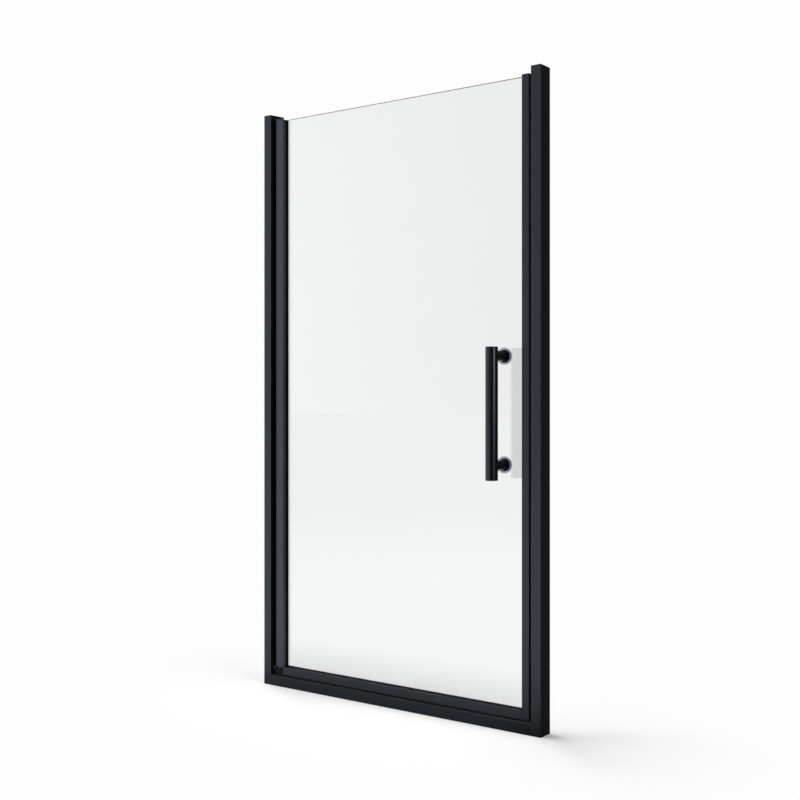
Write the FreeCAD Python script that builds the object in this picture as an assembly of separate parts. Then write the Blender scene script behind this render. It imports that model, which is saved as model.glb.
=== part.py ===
"""Pivot shower door: one framed glass door that turns on a top and a bottom pivot.

Row frame, millimetres: X runs along the doorway (hinge side at -X, strike side at +X),
-Y is the outside of the shower and +Z is up. The origin is the centre of the threshold's
underside. The two walls stand at X = -frame_width / 2 and X = +frame_width / 2.
"""
import FreeCAD, Part
import math
import os

# ---------------------------------------------------------------- overall frame
FRAME_WIDTH = 1020.0
FRAME_HEIGHT = 1829.0
FRAME_DEPTH = 51.0
EDGE_RADIUS = 0.7
CUT_OVERRUN = 1.0
TOUCHING = 0.01

# ---------------------------------------------------------------- wall channels and caps
HINGE_CHANNEL_FACE = 28.5
STRIKE_CHANNEL_FACE = 31.2
CHANNEL_WALL = 1.8
CHANNEL_CAP_THICKNESS = 3.0
CAP_PLUG_HEIGHT = 4.5
CAP_PLUG_GAP = 0.1
CAP_NOSE_REACH = 10.0
CAP_NOSE_CLEARANCE = 1.0
WALL_HOLE_RADIUS = 2.75
WALL_HOLE_COUNT = 4
WALL_HOLE_MARGIN = 150.0

# ---------------------------------------------------------------- sliding jambs
JAMB_WALL = 1.6
JAMB_SLIDE_GAP = 0.3
JAMB_MOUTH_SETBACK = 1.0
JAMB_WALL_SPACE = 4.0
SCREW_PORT_RADIUS = 4.5
PORT_ROOT = 0.5
JAMB_SCREW_COUNT = 3
JAMB_SCREW_MARGIN = 220.0
JAMB_SLOT_LENGTH = 12.0

# ---------------------------------------------------------------- threshold
THRESHOLD_HEIGHT = 33.0
THRESHOLD_WALL = 1.8
THRESHOLD_EDGE_RADIUS = 2.5
END_CAP_THICKNESS = 2.0
END_CAP_PLUG = 10.0
BRACKET_THICKNESS = 2.0
BRACKET_DEPTH = 11.0
BRACKET_FOOT = 11.0
BRACKET_RISE = 24.0

# ---------------------------------------------------------------- door frame
DOOR_DEPTH = 30.0
DOOR_SETBACK = 11.0
DOOR_TOP_GAP = 17.3
HINGE_GAP = 13.2
STRIKE_GAP = 12.0
HINGE_STILE_FACE = 29.3
STRIKE_STILE_FACE = 23.1
PROFILE_WALL = 1.6
PIVOT_SPACE = 27.0
RAIL_GAP = 2.5
RAIL_HEIGHT = 25.7
GROOVE_DEPTH = 12.0
STILE_CAP_THICKNESS = 1.4
STILE_CAP_PLUG = 8.0
PLUG_GAP = 0.1

# ---------------------------------------------------------------- glass and gaskets
GLASS_THICKNESS = 6.0
GLASS_SETBACK = 17.0
GLASS_BITE = 8.5
GASKET_LEG = 2.5
GASKET_LIP = 2.0
RAIL_GASKET_LIP = 0.8
GASKET_LIP_OVERLAP = 1.0
GASKET_APRON = 13.0
GASKET_GAP = 0.05

# ---------------------------------------------------------------- seals and magnet strips
MAGNET_WIDTH = 11.0
MAGNET_MEETING_GAP = 0.8
DOOR_MAGNET_REACH = 7.5
MAGNET_SLOT_WIDTH = 6.0
MAGNET_SLOT_DEPTH = 3.2
MAGNET_BEHIND_FRONT = 21.0
MAGNET_LIFT = 3.0
STRIP_GAP = 0.1
SWEEP_DROP = 1.7
SWEEP_WIDTH = 8.0
SWEEP_BEHIND_FRONT = 2.0
SIDE_SEAL_WIDTH = 6.0
SIDE_SEAL_GAP = 0.5
SIDE_SEAL_ROUNDING = 1.5
STRIP_SLOT_WIDTH = 3.0
STRIP_SLOT_DEPTH = 2.6

# ---------------------------------------------------------------- pivots
PIN_RADIUS = 4.0
RUNNING_CLEARANCE = 0.05
PIN_ENGAGEMENT = 17.0
BUSH_LENGTH = 22.0
BUSH_END_WALL = 2.0
SWING_CLEARANCE = 1.2
NUT_THICKNESS = 4.0
NUT_ACROSS_FLATS = 13.0
THRUST_WASHER_RADIUS = 8.0
THRUST_WASHER_THICKNESS = 1.6
THRUST_WASHER_GAP = 0.3
PLATE_THICKNESS = 3.0
PLATE_GAP = 1.0
TONGUE_RADIUS = 7.0
PIVOT_SCREW_HEAD_RADIUS = 5.5
PIVOT_SCREW_HEAD_HEIGHT = 2.6
PIVOT_SCREW_HEAD_ROUNDING = 0.65

# ---------------------------------------------------------------- corner plate at the hinge stile's foot
CORNER_PLATE_THICKNESS = 2.0
CORNER_PLATE_LEG = 14.0
CORNER_PLATE_HEIGHT = 80.0
CORNER_PLATE_LENGTH = 70.0
CORNER_PLATE_MARGIN = 2.5

# ---------------------------------------------------------------- screws
SCREW_RADIUS = 2.0
SCREW_HEAD_RADIUS = 3.7
SCREW_HEAD_HEIGHT = 2.4
SCREW_HEAD_ROUNDING = 0.8
SCREW_LENGTH = 12.0
CORNER_SCREW_LENGTH = 24.0
BLOCK_SCREW_REACH = 5.4
SCREW_GAP = 0.05
SCREW_HEAD_INSET = 1.0
SCREW_SOCKET = 2.5
SCREW_SOCKET_DEPTH = 1.2
HEX_SIDES = 6
COVER_RADIUS = 6.0
COVER_HEIGHT = 4.2
COVER_WALL = 1.0
ACCESS_HOLE_RADIUS = 4.5

# ---------------------------------------------------------------- handle
HANDLE_FROM_STILE = 66.4
HANDLE_LOW_POST = 734.8
HANDLE_CENTRES = 304.0
HANDLE_TOP_OVERHANG = 24.6
HANDLE_BOTTOM_OVERHANG = 40.2
HANDLE_STANDOFF = 66.5
BAR_RADIUS = 17.5
BAR_WALL = 1.5
BAR_CAP_THICKNESS = 1.5
BAR_CAP_PLUG = 8.0
BAR_CAP_ROUNDING = 0.9
POST_RADIUS = 14.5
ROSETTE_RADIUS = 18.3
ROSETTE_THICKNESS = 2.4
ROSETTE_ROUNDING = 1.0
WASHER_RADIUS = 24.3
REAR_WASHER_RADIUS = 19.5
WASHER_THICKNESS = 1.5
BUSH_WALL = 1.5
BUSH_FIT = 0.1
STUD_RADIUS = 4.0
STUD_IN_POST = 20.0
REAR_CAP_RADIUS = 12.0
REAR_CAP_THICKNESS = 5.0
REAR_CAP_WALL = 1.6
REAR_CAP_ROUNDING = 1.25

# ---------------------------------------------------------------- places worked out from the sizes
WALL_LEFT = -FRAME_WIDTH / 2
WALL_RIGHT = FRAME_WIDTH / 2
FRONT = -FRAME_DEPTH / 2
BACK = FRAME_DEPTH / 2
HINGE_MOUTH = WALL_LEFT + HINGE_CHANNEL_FACE
STRIKE_MOUTH = WALL_RIGHT - STRIKE_CHANNEL_FACE
CHANNEL_TOP = FRAME_HEIGHT - CHANNEL_CAP_THICKNESS
JAMB_FRONT = FRONT + CHANNEL_WALL + JAMB_SLIDE_GAP
JAMB_BACK = BACK - CHANNEL_WALL - JAMB_SLIDE_GAP
HINGE_JAMB_LEFT = WALL_LEFT + CHANNEL_WALL + JAMB_WALL_SPACE
HINGE_JAMB_RIGHT = HINGE_MOUTH - JAMB_MOUTH_SETBACK
STRIKE_JAMB_LEFT = STRIKE_MOUTH + JAMB_MOUTH_SETBACK
STRIKE_JAMB_RIGHT = WALL_RIGHT - CHANNEL_WALL - JAMB_WALL_SPACE

DOOR_FRONT = FRONT + DOOR_SETBACK
DOOR_BACK = DOOR_FRONT + DOOR_DEPTH
DOOR_TOP = FRAME_HEIGHT - DOOR_TOP_GAP
STILE_FOOT = THRESHOLD_HEIGHT + PIVOT_SPACE
RAIL_BOTTOM = THRESHOLD_HEIGHT + RAIL_GAP
RAIL_TOP = RAIL_BOTTOM + RAIL_HEIGHT
HINGE_STILE_LEFT = HINGE_MOUTH + HINGE_GAP
HINGE_STILE_RIGHT = HINGE_STILE_LEFT + HINGE_STILE_FACE
STRIKE_STILE_RIGHT = STRIKE_MOUTH - STRIKE_GAP
STRIKE_STILE_LEFT = STRIKE_STILE_RIGHT - STRIKE_STILE_FACE
GLASS_FRONT = DOOR_FRONT + GLASS_SETBACK
GLASS_BACK = GLASS_FRONT + GLASS_THICKNESS
GLASS_LEFT = HINGE_STILE_RIGHT - GLASS_BITE
GLASS_RIGHT = STRIKE_STILE_LEFT + GLASS_BITE
GLASS_BOTTOM = RAIL_TOP - GLASS_BITE
GROOVE_FRONT = GLASS_FRONT - GASKET_LEG
GROOVE_BACK = GLASS_BACK + GASKET_LEG

PIVOT_X = HINGE_STILE_LEFT + HINGE_STILE_FACE / 2
PIVOT_Y = (DOOR_FRONT + GROOVE_FRONT) / 2
BLOCK_RADIUS = HINGE_STILE_RIGHT - PIVOT_X - SWING_CLEARANCE
WASHER_BOTTOM = STILE_FOOT - THRUST_WASHER_GAP - THRUST_WASHER_THICKNESS
BLOCK_TOP = WASHER_BOTTOM - NUT_THICKNESS
PLATE_BOTTOM = DOOR_TOP + PLATE_GAP
PLATE_TOP = PLATE_BOTTOM + PLATE_THICKNESS

HANDLE_X = STRIKE_STILE_LEFT - HANDLE_FROM_STILE
HANDLE_HEIGHTS = (HANDLE_LOW_POST, HANDLE_LOW_POST + HANDLE_CENTRES)
BAR_Y = GLASS_FRONT - HANDLE_STANDOFF
BAR_BOTTOM = HANDLE_HEIGHTS[0] - HANDLE_BOTTOM_OVERHANG
BAR_TOP = HANDLE_HEIGHTS[1] + HANDLE_TOP_OVERHANG
WASHER_FRONT = GLASS_FRONT - WASHER_THICKNESS
WASHER_BACK = GLASS_BACK + WASHER_THICKNESS
ROSETTE_FRONT = WASHER_FRONT - ROSETTE_THICKNESS
STUD_HOLE_RADIUS = STUD_RADIUS + SCREW_GAP
GLASS_BUSH_RADIUS = STUD_HOLE_RADIUS + BUSH_WALL
GLASS_HOLE_RADIUS = GLASS_BUSH_RADIUS + BUSH_FIT
PIVOT_HOLE_RADIUS = PIN_RADIUS + RUNNING_CLEARANCE
MAGNET_Y = DOOR_FRONT + MAGNET_BEHIND_FRONT
SIDE_SEAL_Y = (GLASS_FRONT + GLASS_BACK) / 2
SWEEP_Y = DOOR_FRONT + SWEEP_BEHIND_FRONT + SWEEP_WIDTH / 2

X_AXIS = FreeCAD.Vector(1, 0, 0)
Y_AXIS = FreeCAD.Vector(0, 1, 0)
Z_AXIS = FreeCAD.Vector(0, 0, 1)


# ================================================================ shape helpers
def block(x0, x1, y0, y1, z0, z1):
    """Box between two corners."""
    return Part.makeBox(x1 - x0, y1 - y0, z1 - z0, FreeCAD.Vector(x0, y0, z0))


def rounded_block(x0, x1, y0, y1, z0, z1, radius, along):
    """Box whose four edges along one axis are rounded."""
    solid = block(x0, x1, y0, y1, z0, z1)
    edges = []
    for edge in solid.Edges:
        span = edge.Vertexes[1].Point - edge.Vertexes[0].Point
        if abs(span.dot(along)) > span.Length / 2:
            edges.append(edge)
    return solid.makeFillet(radius, edges)


def prism(corners, z0, z1):
    """Upright prism on a closed outline of (x, y) corners."""
    points = [FreeCAD.Vector(x, y, z0) for x, y in corners]
    points.append(points[0])
    return Part.Face(Part.makePolygon(points)).extrude(FreeCAD.Vector(0, 0, z1 - z0))


def rod(x, y, z, direction, length, radius):
    """Cylinder that starts at a point and runs along a direction."""
    return Part.makeCylinder(radius, length, FreeCAD.Vector(x, y, z), direction)


def tube(x, y, z, direction, length, outer, inner):
    """Hollow cylinder."""
    return rod(x, y, z, direction, length, outer).cut(rod(x, y, z, direction, length, inner))


def hexagon(x, y, z, direction, length, across_flats):
    """Six-sided prism that starts at a point and runs along a direction."""
    corner = across_flats / math.sqrt(3)
    points = []
    for step in range(HEX_SIDES + 1):
        angle = 2 * math.pi * step / HEX_SIDES
        points.append(FreeCAD.Vector(corner * math.cos(angle), corner * math.sin(angle), 0))
    prism = Part.Face(Part.makePolygon(points)).extrude(FreeCAD.Vector(0, 0, length))
    turn = FreeCAD.Rotation(Z_AXIS, direction)
    prism.Placement = FreeCAD.Placement(FreeCAD.Vector(x, y, z), turn)
    return prism


def screw(x, y, z, direction, length=SCREW_LENGTH):
    """Pan-head screw: its head's seat is at the point, its shank runs along the direction."""
    out = direction * -1
    head = rod(x, y, z, out, SCREW_HEAD_HEIGHT, SCREW_HEAD_RADIUS)
    head = head.makeFillet(SCREW_HEAD_ROUNDING, far_edges(head, direction))
    shank = rod(x, y, z, direction, length, SCREW_RADIUS)
    solid = head.fuse(shank)
    top = FreeCAD.Vector(x, y, z) + out * (SCREW_HEAD_HEIGHT - SCREW_SOCKET_DEPTH)
    socket = hexagon(top.x, top.y, top.z, out, SCREW_HEAD_HEIGHT, SCREW_SOCKET)
    return solid.cut(socket).removeSplitter()


def far_edges(solid, direction):
    """Edges of the face that lies farthest against a direction."""
    lowest = min(face.CenterOfMass.dot(direction) for face in solid.Faces)
    for face in solid.Faces:
        if face.CenterOfMass.dot(direction) < lowest + TOUCHING:
            return face.Edges
    return []


def screw_hole(x, y, z, direction, length):
    """Hole for a screw's shank: it starts a little before the point and runs the length."""
    start = FreeCAD.Vector(x, y, z) - direction * CUT_OVERRUN
    span = length + CUT_OVERRUN
    return rod(start.x, start.y, start.z, direction, span, SCREW_RADIUS + SCREW_GAP)


def cut_all(solid, tools):
    """Solid with every tool taken away."""
    for tool in tools:
        solid = solid.cut(tool)
    return solid


def save(name, *solids):
    """Write one node, one solid or a group of separate solids."""
    shape = solids[0] if len(solids) == 1 else Part.makeCompound(list(solids))
    shape.exportStep("parts/" + name + ".step")


# ================================================================ screw places
def wall_hole_heights():
    """Heights of the screw holes in both wall channels."""
    return spread_heights(WALL_HOLE_COUNT, WALL_HOLE_MARGIN)


def spread_heights(count, margin):
    """Evenly spread heights between margins above the threshold and below the channels' tops."""
    low = THRESHOLD_HEIGHT + margin
    step = (CHANNEL_TOP - margin - low) / (count - 1)
    return [low + step * index for index in range(count)]


def jamb_port_places(wall_side, towards_mouth):
    """Centres of a jamb's two screw ports, beside its wall-side face."""
    inset = JAMB_WALL + SCREW_PORT_RADIUS - PORT_ROOT
    x = wall_side + towards_mouth * inset
    return [(x, JAMB_FRONT + inset), (x, JAMB_BACK - inset)]


def jamb_screw_places():
    """Points on the channels' back faces where the jambs are screwed fast."""
    hinge_x = (HINGE_JAMB_LEFT + HINGE_JAMB_RIGHT) / 2
    strike_x = (STRIKE_JAMB_LEFT + STRIKE_JAMB_RIGHT) / 2
    heights = spread_heights(JAMB_SCREW_COUNT, JAMB_SCREW_MARGIN)
    return [(x, z) for x in (hinge_x, strike_x) for z in heights]


def block_screw_places():
    """Two screws hold the bottom pivot block down on the threshold."""
    inset = SCREW_HEAD_RADIUS + SCREW_HEAD_INSET
    x = HINGE_JAMB_RIGHT + inset
    return [(x, DOOR_FRONT + inset), (x, PIVOT_Y + BLOCK_RADIUS - inset)]


def rail_port_places():
    """Screw ports in the bottom rail, as (y, z)."""
    inset = PROFILE_WALL + SCREW_PORT_RADIUS - PORT_ROOT
    y = DOOR_FRONT + inset
    return [(y, RAIL_BOTTOM + inset), (y, RAIL_TOP - inset)]


def bracket_screw_heights():
    """Height of the screw in the threshold bracket's upright leg."""
    return THRESHOLD_HEIGHT + BRACKET_RISE - SCREW_HEAD_RADIUS - SCREW_HEAD_INSET


def corner_plate_screw_places():
    """Screws of the corner plate: two in the stile's back, two in the rail's back."""
    stile_x = HINGE_STILE_LEFT + CORNER_PLATE_MARGIN + CORNER_PLATE_LEG / 2
    inset = CORNER_PLATE_LEG / 2
    top = corner_plate_bottom() + CORNER_PLATE_HEIGHT - inset
    end = HINGE_STILE_LEFT + CORNER_PLATE_MARGIN + CORNER_PLATE_LENGTH - inset
    low = STILE_FOOT + BUSH_LENGTH + inset
    near = HINGE_STILE_RIGHT + inset
    rail_z = corner_plate_bottom() + inset
    return [(stile_x, low), (stile_x, top), (near, rail_z), (end, rail_z)]


def corner_plate_bottom():
    """Underside of the corner plate, centred on the rail's lower chamber."""
    chamber_bottom = RAIL_BOTTOM + PROFILE_WALL
    chamber_top = RAIL_TOP - GROOVE_DEPTH - PROFILE_WALL
    return (chamber_bottom + chamber_top - CORNER_PLATE_LEG) / 2


# ================================================================ frame: channels, jambs and caps
def wall_channel(x0, x1, wall_side, bottom):
    """Upright channel, closed against the wall and open towards the doorway."""
    outer = rounded_block(x0, x1, FRONT, BACK, bottom, CHANNEL_TOP, EDGE_RADIUS, Z_AXIS)
    if wall_side < 0:
        cavity_x0, cavity_x1 = x0 + CHANNEL_WALL, x1 + CHANNEL_WALL
    else:
        cavity_x0, cavity_x1 = x0 - CHANNEL_WALL, x1 - CHANNEL_WALL
    cavity = block(cavity_x0, cavity_x1, FRONT + CHANNEL_WALL, BACK - CHANNEL_WALL, bottom, CHANNEL_TOP)
    holes = [rod(x0, 0, z, X_AXIS, x1 - x0, WALL_HOLE_RADIUS) for z in wall_hole_heights()]
    slots = [screw_slot(x, z) for x, z in jamb_screw_places() if x0 < x < x1]
    return cut_all(outer.cut(cavity), holes + slots)


def screw_slot(x, z):
    """Slot along X through a channel's back face, so that the jamb can be set in or out."""
    radius = SCREW_RADIUS + SCREW_GAP
    half = JAMB_SLOT_LENGTH / 2 - radius
    y = BACK - CHANNEL_WALL - CUT_OVERRUN
    depth = CHANNEL_WALL + 2 * CUT_OVERRUN
    slot = block(x - half, x + half, y, y + depth, z - radius, z + radius)
    for end in (x - half, x + half):
        slot = slot.fuse(rod(end, y, z, Y_AXIS, depth, radius))
    return slot


def jamb(x0, x1, bottom, top, ports, slot):
    """Box section that slides in a wall channel, with screw ports and one seal slot."""
    outer = rounded_block(x0, x1, JAMB_FRONT, JAMB_BACK, bottom, top, EDGE_RADIUS, Z_AXIS)
    y0, y1 = JAMB_FRONT + JAMB_WALL, JAMB_BACK - JAMB_WALL
    solid = outer.cut(block(x0 + JAMB_WALL, x1 - JAMB_WALL, y0, y1, bottom, top))
    for x, y in ports:
        solid = solid.fuse(rod(x, y, bottom, Z_AXIS, top - bottom, SCREW_PORT_RADIUS))
    for x, y in ports:
        solid = solid.cut(rod(x, y, bottom, Z_AXIS, top - bottom, SCREW_RADIUS + SCREW_GAP))
    rib_x0, rib_x1, slot_x0, slot_x1, slot_y0, slot_y1 = slot
    solid = solid.fuse(block(rib_x0, rib_x1, slot_y0 - JAMB_WALL, slot_y1 + JAMB_WALL, bottom, top))
    tools = [block(slot_x0, slot_x1, slot_y0, slot_y1, bottom, top)]
    for x, z in jamb_screw_places():
        if x0 < x < x1:
            tools.append(screw_hole(x, BACK, z, Y_AXIS * -1, SCREW_LENGTH))
    return cut_all(solid, tools).removeSplitter()


def hinge_jamb():
    """Jamb on the hinge side, standing on the threshold under the pivot plate."""
    y0 = SIDE_SEAL_Y - STRIP_SLOT_WIDTH / 2
    y1 = SIDE_SEAL_Y + STRIP_SLOT_WIDTH / 2
    slot_x = HINGE_JAMB_RIGHT - STRIP_SLOT_DEPTH
    slot = (slot_x - JAMB_WALL, HINGE_JAMB_RIGHT, slot_x, HINGE_JAMB_RIGHT, y0, y1)
    ports = jamb_port_places(HINGE_JAMB_LEFT, 1)
    return jamb(HINGE_JAMB_LEFT, HINGE_JAMB_RIGHT, THRESHOLD_HEIGHT, PLATE_BOTTOM, ports, slot)


def strike_jamb():
    """Jamb on the strike side, which carries the frame's magnet strip."""
    y0 = MAGNET_Y - MAGNET_SLOT_WIDTH / 2
    y1 = MAGNET_Y + MAGNET_SLOT_WIDTH / 2
    slot_x = STRIKE_JAMB_LEFT + MAGNET_SLOT_DEPTH
    slot = (STRIKE_JAMB_LEFT, slot_x + JAMB_WALL, STRIKE_JAMB_LEFT, slot_x, y0, y1)
    ports = jamb_port_places(STRIKE_JAMB_RIGHT, -1)
    solid = jamb(STRIKE_JAMB_LEFT, STRIKE_JAMB_RIGHT, 0, CHANNEL_TOP - CAP_PLUG_HEIGHT, ports, slot)
    start = STRIKE_JAMB_LEFT - BRACKET_THICKNESS
    return solid.cut(screw_hole(start, bracket_y(), bracket_screw_heights(), X_AXIS, SCREW_LENGTH))


def channel_cap(x0, x1, plug_x0, plug_x1):
    """Cap that closes a wall channel's top: a plate with a plug between the flanges."""
    plate = rounded_block(x0, x1, FRONT, BACK, CHANNEL_TOP, FRAME_HEIGHT, EDGE_RADIUS, Z_AXIS)
    gap = CHANNEL_WALL + CAP_PLUG_GAP
    plug = block(plug_x0, plug_x1, FRONT + gap, BACK - gap, CHANNEL_TOP - CAP_PLUG_HEIGHT, CHANNEL_TOP)
    return plate.fuse(plug)


def hinge_channel_cap():
    """Cap over the hinge channel, with a nose that widens backwards over the pivot plate."""
    cap = channel_cap(WALL_LEFT, HINGE_MOUTH, WALL_LEFT + CHANNEL_WALL + CAP_PLUG_GAP, HINGE_MOUTH)
    tip = FRONT + EDGE_RADIUS
    corners = [(HINGE_MOUTH, tip), (HINGE_MOUTH + CAP_NOSE_REACH, BACK), (HINGE_MOUTH, BACK)]
    nose = prism(corners, PLATE_TOP + CAP_NOSE_CLEARANCE, FRAME_HEIGHT)
    bridge = block(HINGE_MOUTH - EDGE_RADIUS, HINGE_MOUTH, tip, BACK, CHANNEL_TOP, FRAME_HEIGHT)
    return cap.fuse(bridge).fuse(nose).removeSplitter()


def strike_channel_cap():
    """Cap over the strike channel."""
    plug_right = WALL_RIGHT - CHANNEL_WALL - CAP_PLUG_GAP
    return channel_cap(STRIKE_MOUTH, WALL_RIGHT, STRIKE_MOUTH, plug_right).removeSplitter()


def jamb_fixing_screws():
    """Screws that lock the jambs in the channels, from the shower side."""
    return [screw(x, BACK, z, Y_AXIS * -1) for x, z in jamb_screw_places()]


def fixing_screw_covers():
    """Snap caps over the jamb fixing screws."""
    covers = []
    for x, z in jamb_screw_places():
        dome = rod(x, BACK, z, Y_AXIS, COVER_HEIGHT, COVER_RADIUS)
        dome = dome.makeFillet(COVER_WALL, far_edges(dome, Y_AXIS * -1))
        inner = rod(x, BACK, z, Y_AXIS, COVER_HEIGHT - COVER_WALL, COVER_RADIUS - COVER_WALL)
        covers.append(dome.cut(inner))
    return covers


# ================================================================ frame: threshold
def threshold_outline(x0, x1, inset):
    """Solid bar with the threshold's section, smaller by an inset on every side."""
    top = THRESHOLD_HEIGHT - inset
    bar = block(x0, x1, FRONT + inset, BACK - inset, inset, top)
    radius = THRESHOLD_EDGE_RADIUS - inset
    if radius <= 0:
        return bar
    for edge in bar.Edges:
        middle = edge.CenterOfMass
        if abs(middle.y - FRONT - inset) < TOUCHING and abs(middle.z - top) < TOUCHING:
            return bar.makeFillet(radius, [edge])
    return bar


def threshold():
    """Hollow sill on the floor, butted against the strike channel."""
    left = WALL_LEFT + END_CAP_THICKNESS
    solid = threshold_outline(left, STRIKE_MOUTH, 0)
    solid = solid.cut(threshold_outline(left, STRIKE_MOUTH, THRESHOLD_WALL))
    places = block_screw_places() + [(bracket_x(), bracket_y())]
    through = THRESHOLD_WALL + CUT_OVERRUN
    holes = [screw_hole(x, y, THRESHOLD_HEIGHT, Z_AXIS * -1, through) for x, y in places]
    return cut_all(solid, holes)


def threshold_end_cap():
    """Cap that closes the threshold's open end beside the wall."""
    plate = threshold_outline(WALL_LEFT, WALL_LEFT + END_CAP_THICKNESS, 0)
    plug_end = WALL_LEFT + END_CAP_THICKNESS + END_CAP_PLUG
    plug = threshold_outline(WALL_LEFT + END_CAP_THICKNESS, plug_end, THRESHOLD_WALL + PLUG_GAP)
    return plate.fuse(plug)


def bracket_y():
    """Middle of the threshold bracket, in front of the magnet strips."""
    return MAGNET_Y - MAGNET_WIDTH / 2 - BRACKET_THICKNESS / 2 - BRACKET_DEPTH / 2


def bracket_x():
    """Screw place in the threshold bracket's foot."""
    return STRIKE_MOUTH - BRACKET_FOOT / 2


def threshold_bracket():
    """Angle that ties the threshold to the strike jamb."""
    y0 = bracket_y() - BRACKET_DEPTH / 2
    y1 = bracket_y() + BRACKET_DEPTH / 2
    foot_top = THRESHOLD_HEIGHT + BRACKET_THICKNESS
    foot = block(STRIKE_MOUTH - BRACKET_FOOT, STRIKE_JAMB_LEFT, y0, y1, THRESHOLD_HEIGHT, foot_top)
    leg_x = STRIKE_JAMB_LEFT - BRACKET_THICKNESS
    leg = block(leg_x, STRIKE_JAMB_LEFT, y0, y1, THRESHOLD_HEIGHT, THRESHOLD_HEIGHT + BRACKET_RISE)
    holes = [
        screw_hole(bracket_x(), bracket_y(), foot_top, Z_AXIS * -1, SCREW_LENGTH),
        screw_hole(leg_x, bracket_y(), bracket_screw_heights(), X_AXIS, SCREW_LENGTH),
    ]
    return cut_all(foot.fuse(leg).removeSplitter(), holes)


def threshold_bracket_screws():
    """One screw down into the threshold and one into the strike jamb."""
    foot_top = THRESHOLD_HEIGHT + BRACKET_THICKNESS
    leg_x = STRIKE_JAMB_LEFT - BRACKET_THICKNESS
    return [
        screw(bracket_x(), bracket_y(), foot_top, Z_AXIS * -1),
        screw(leg_x, bracket_y(), bracket_screw_heights(), X_AXIS),
    ]


# ================================================================ frame: pivots
def top_pivot_plate():
    """Plate on the hinge jamb's top whose tongue reaches over the hinge stile."""
    plate = block(HINGE_JAMB_LEFT, HINGE_JAMB_RIGHT, JAMB_FRONT, JAMB_BACK, PLATE_BOTTOM, PLATE_TOP)
    y0, y1 = PIVOT_Y - TONGUE_RADIUS, PIVOT_Y + TONGUE_RADIUS
    tongue = block(HINGE_JAMB_RIGHT, PIVOT_X, y0, y1, PLATE_BOTTOM, PLATE_TOP)
    end = rod(PIVOT_X, PIVOT_Y, PLATE_BOTTOM, Z_AXIS, PLATE_THICKNESS, TONGUE_RADIUS)
    solid = plate.fuse(tongue).fuse(end).removeSplitter()
    holes = [rod(PIVOT_X, PIVOT_Y, PLATE_BOTTOM, Z_AXIS, PLATE_THICKNESS, PIVOT_HOLE_RADIUS)]
    for x, y in jamb_port_places(HINGE_JAMB_LEFT, 1):
        holes.append(screw_hole(x, y, PLATE_TOP, Z_AXIS * -1, SCREW_LENGTH))
    return cut_all(solid, holes)


def top_pivot_plate_screws():
    """Screws down through the pivot plate into the jamb's screw ports."""
    places = jamb_port_places(HINGE_JAMB_LEFT, 1)
    return [screw(x, y, PLATE_TOP, Z_AXIS * -1) for x, y in places]


def top_pivot_screw():
    """Shoulder screw that the door's top bush turns on."""
    head = rod(PIVOT_X, PIVOT_Y, PLATE_TOP, Z_AXIS, PIVOT_SCREW_HEAD_HEIGHT, PIVOT_SCREW_HEAD_RADIUS)
    head = head.makeFillet(PIVOT_SCREW_HEAD_ROUNDING, far_edges(head, Z_AXIS * -1))
    tip = DOOR_TOP - PIN_ENGAGEMENT
    shank = rod(PIVOT_X, PIVOT_Y, tip, Z_AXIS, PLATE_TOP - tip, PIN_RADIUS)
    socket_z = PLATE_TOP + PIVOT_SCREW_HEAD_HEIGHT - SCREW_SOCKET_DEPTH
    socket = hexagon(PIVOT_X, PIVOT_Y, socket_z, Z_AXIS, PIVOT_SCREW_HEAD_HEIGHT, PIN_RADIUS)
    return head.fuse(shank).cut(socket)


def bottom_pivot_block():
    """Block on the threshold, rounded about the pivot so that the rail swings past it."""
    height = BLOCK_TOP - THRESHOLD_HEIGHT
    nose = rod(PIVOT_X, PIVOT_Y, THRESHOLD_HEIGHT, Z_AXIS, height, BLOCK_RADIUS)
    left, right = PIVOT_X - BLOCK_RADIUS, PIVOT_X + BLOCK_RADIUS
    ahead, behind = PIVOT_Y - BLOCK_RADIUS, PIVOT_Y + BLOCK_RADIUS
    nose = nose.cut(block(left, right, ahead, DOOR_FRONT, THRESHOLD_HEIGHT, BLOCK_TOP))
    root = block(HINGE_JAMB_RIGHT, PIVOT_X, DOOR_FRONT, behind, THRESHOLD_HEIGHT, BLOCK_TOP)
    solid = root.fuse(nose).removeSplitter()
    bore = rod(PIVOT_X, PIVOT_Y, BLOCK_TOP - PIN_ENGAGEMENT, Z_AXIS, PIN_ENGAGEMENT, PIVOT_HOLE_RADIUS)
    holes = [screw_hole(x, y, BLOCK_TOP, Z_AXIS * -1, height) for x, y in block_screw_places()]
    return cut_all(solid, [bore] + holes)


def bottom_block_screws():
    """Screws down through the pivot block into the threshold."""
    length = BLOCK_TOP - THRESHOLD_HEIGHT + BLOCK_SCREW_REACH
    return [screw(x, y, BLOCK_TOP, Z_AXIS * -1, length) for x, y in block_screw_places()]


def bottom_pivot_pin():
    """Pin that stands in the block and carries the door's bottom bush."""
    bottom = BLOCK_TOP - PIN_ENGAGEMENT
    return rod(PIVOT_X, PIVOT_Y, bottom, Z_AXIS, STILE_FOOT + PIN_ENGAGEMENT - bottom, PIN_RADIUS)


def pivot_height_nut():
    """Nut under the thrust washer that sets the door's height."""
    nut = hexagon(PIVOT_X, PIVOT_Y, BLOCK_TOP, Z_AXIS, NUT_THICKNESS, NUT_ACROSS_FLATS)
    return nut.cut(rod(PIVOT_X, PIVOT_Y, BLOCK_TOP, Z_AXIS, NUT_THICKNESS, PIVOT_HOLE_RADIUS))


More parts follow.
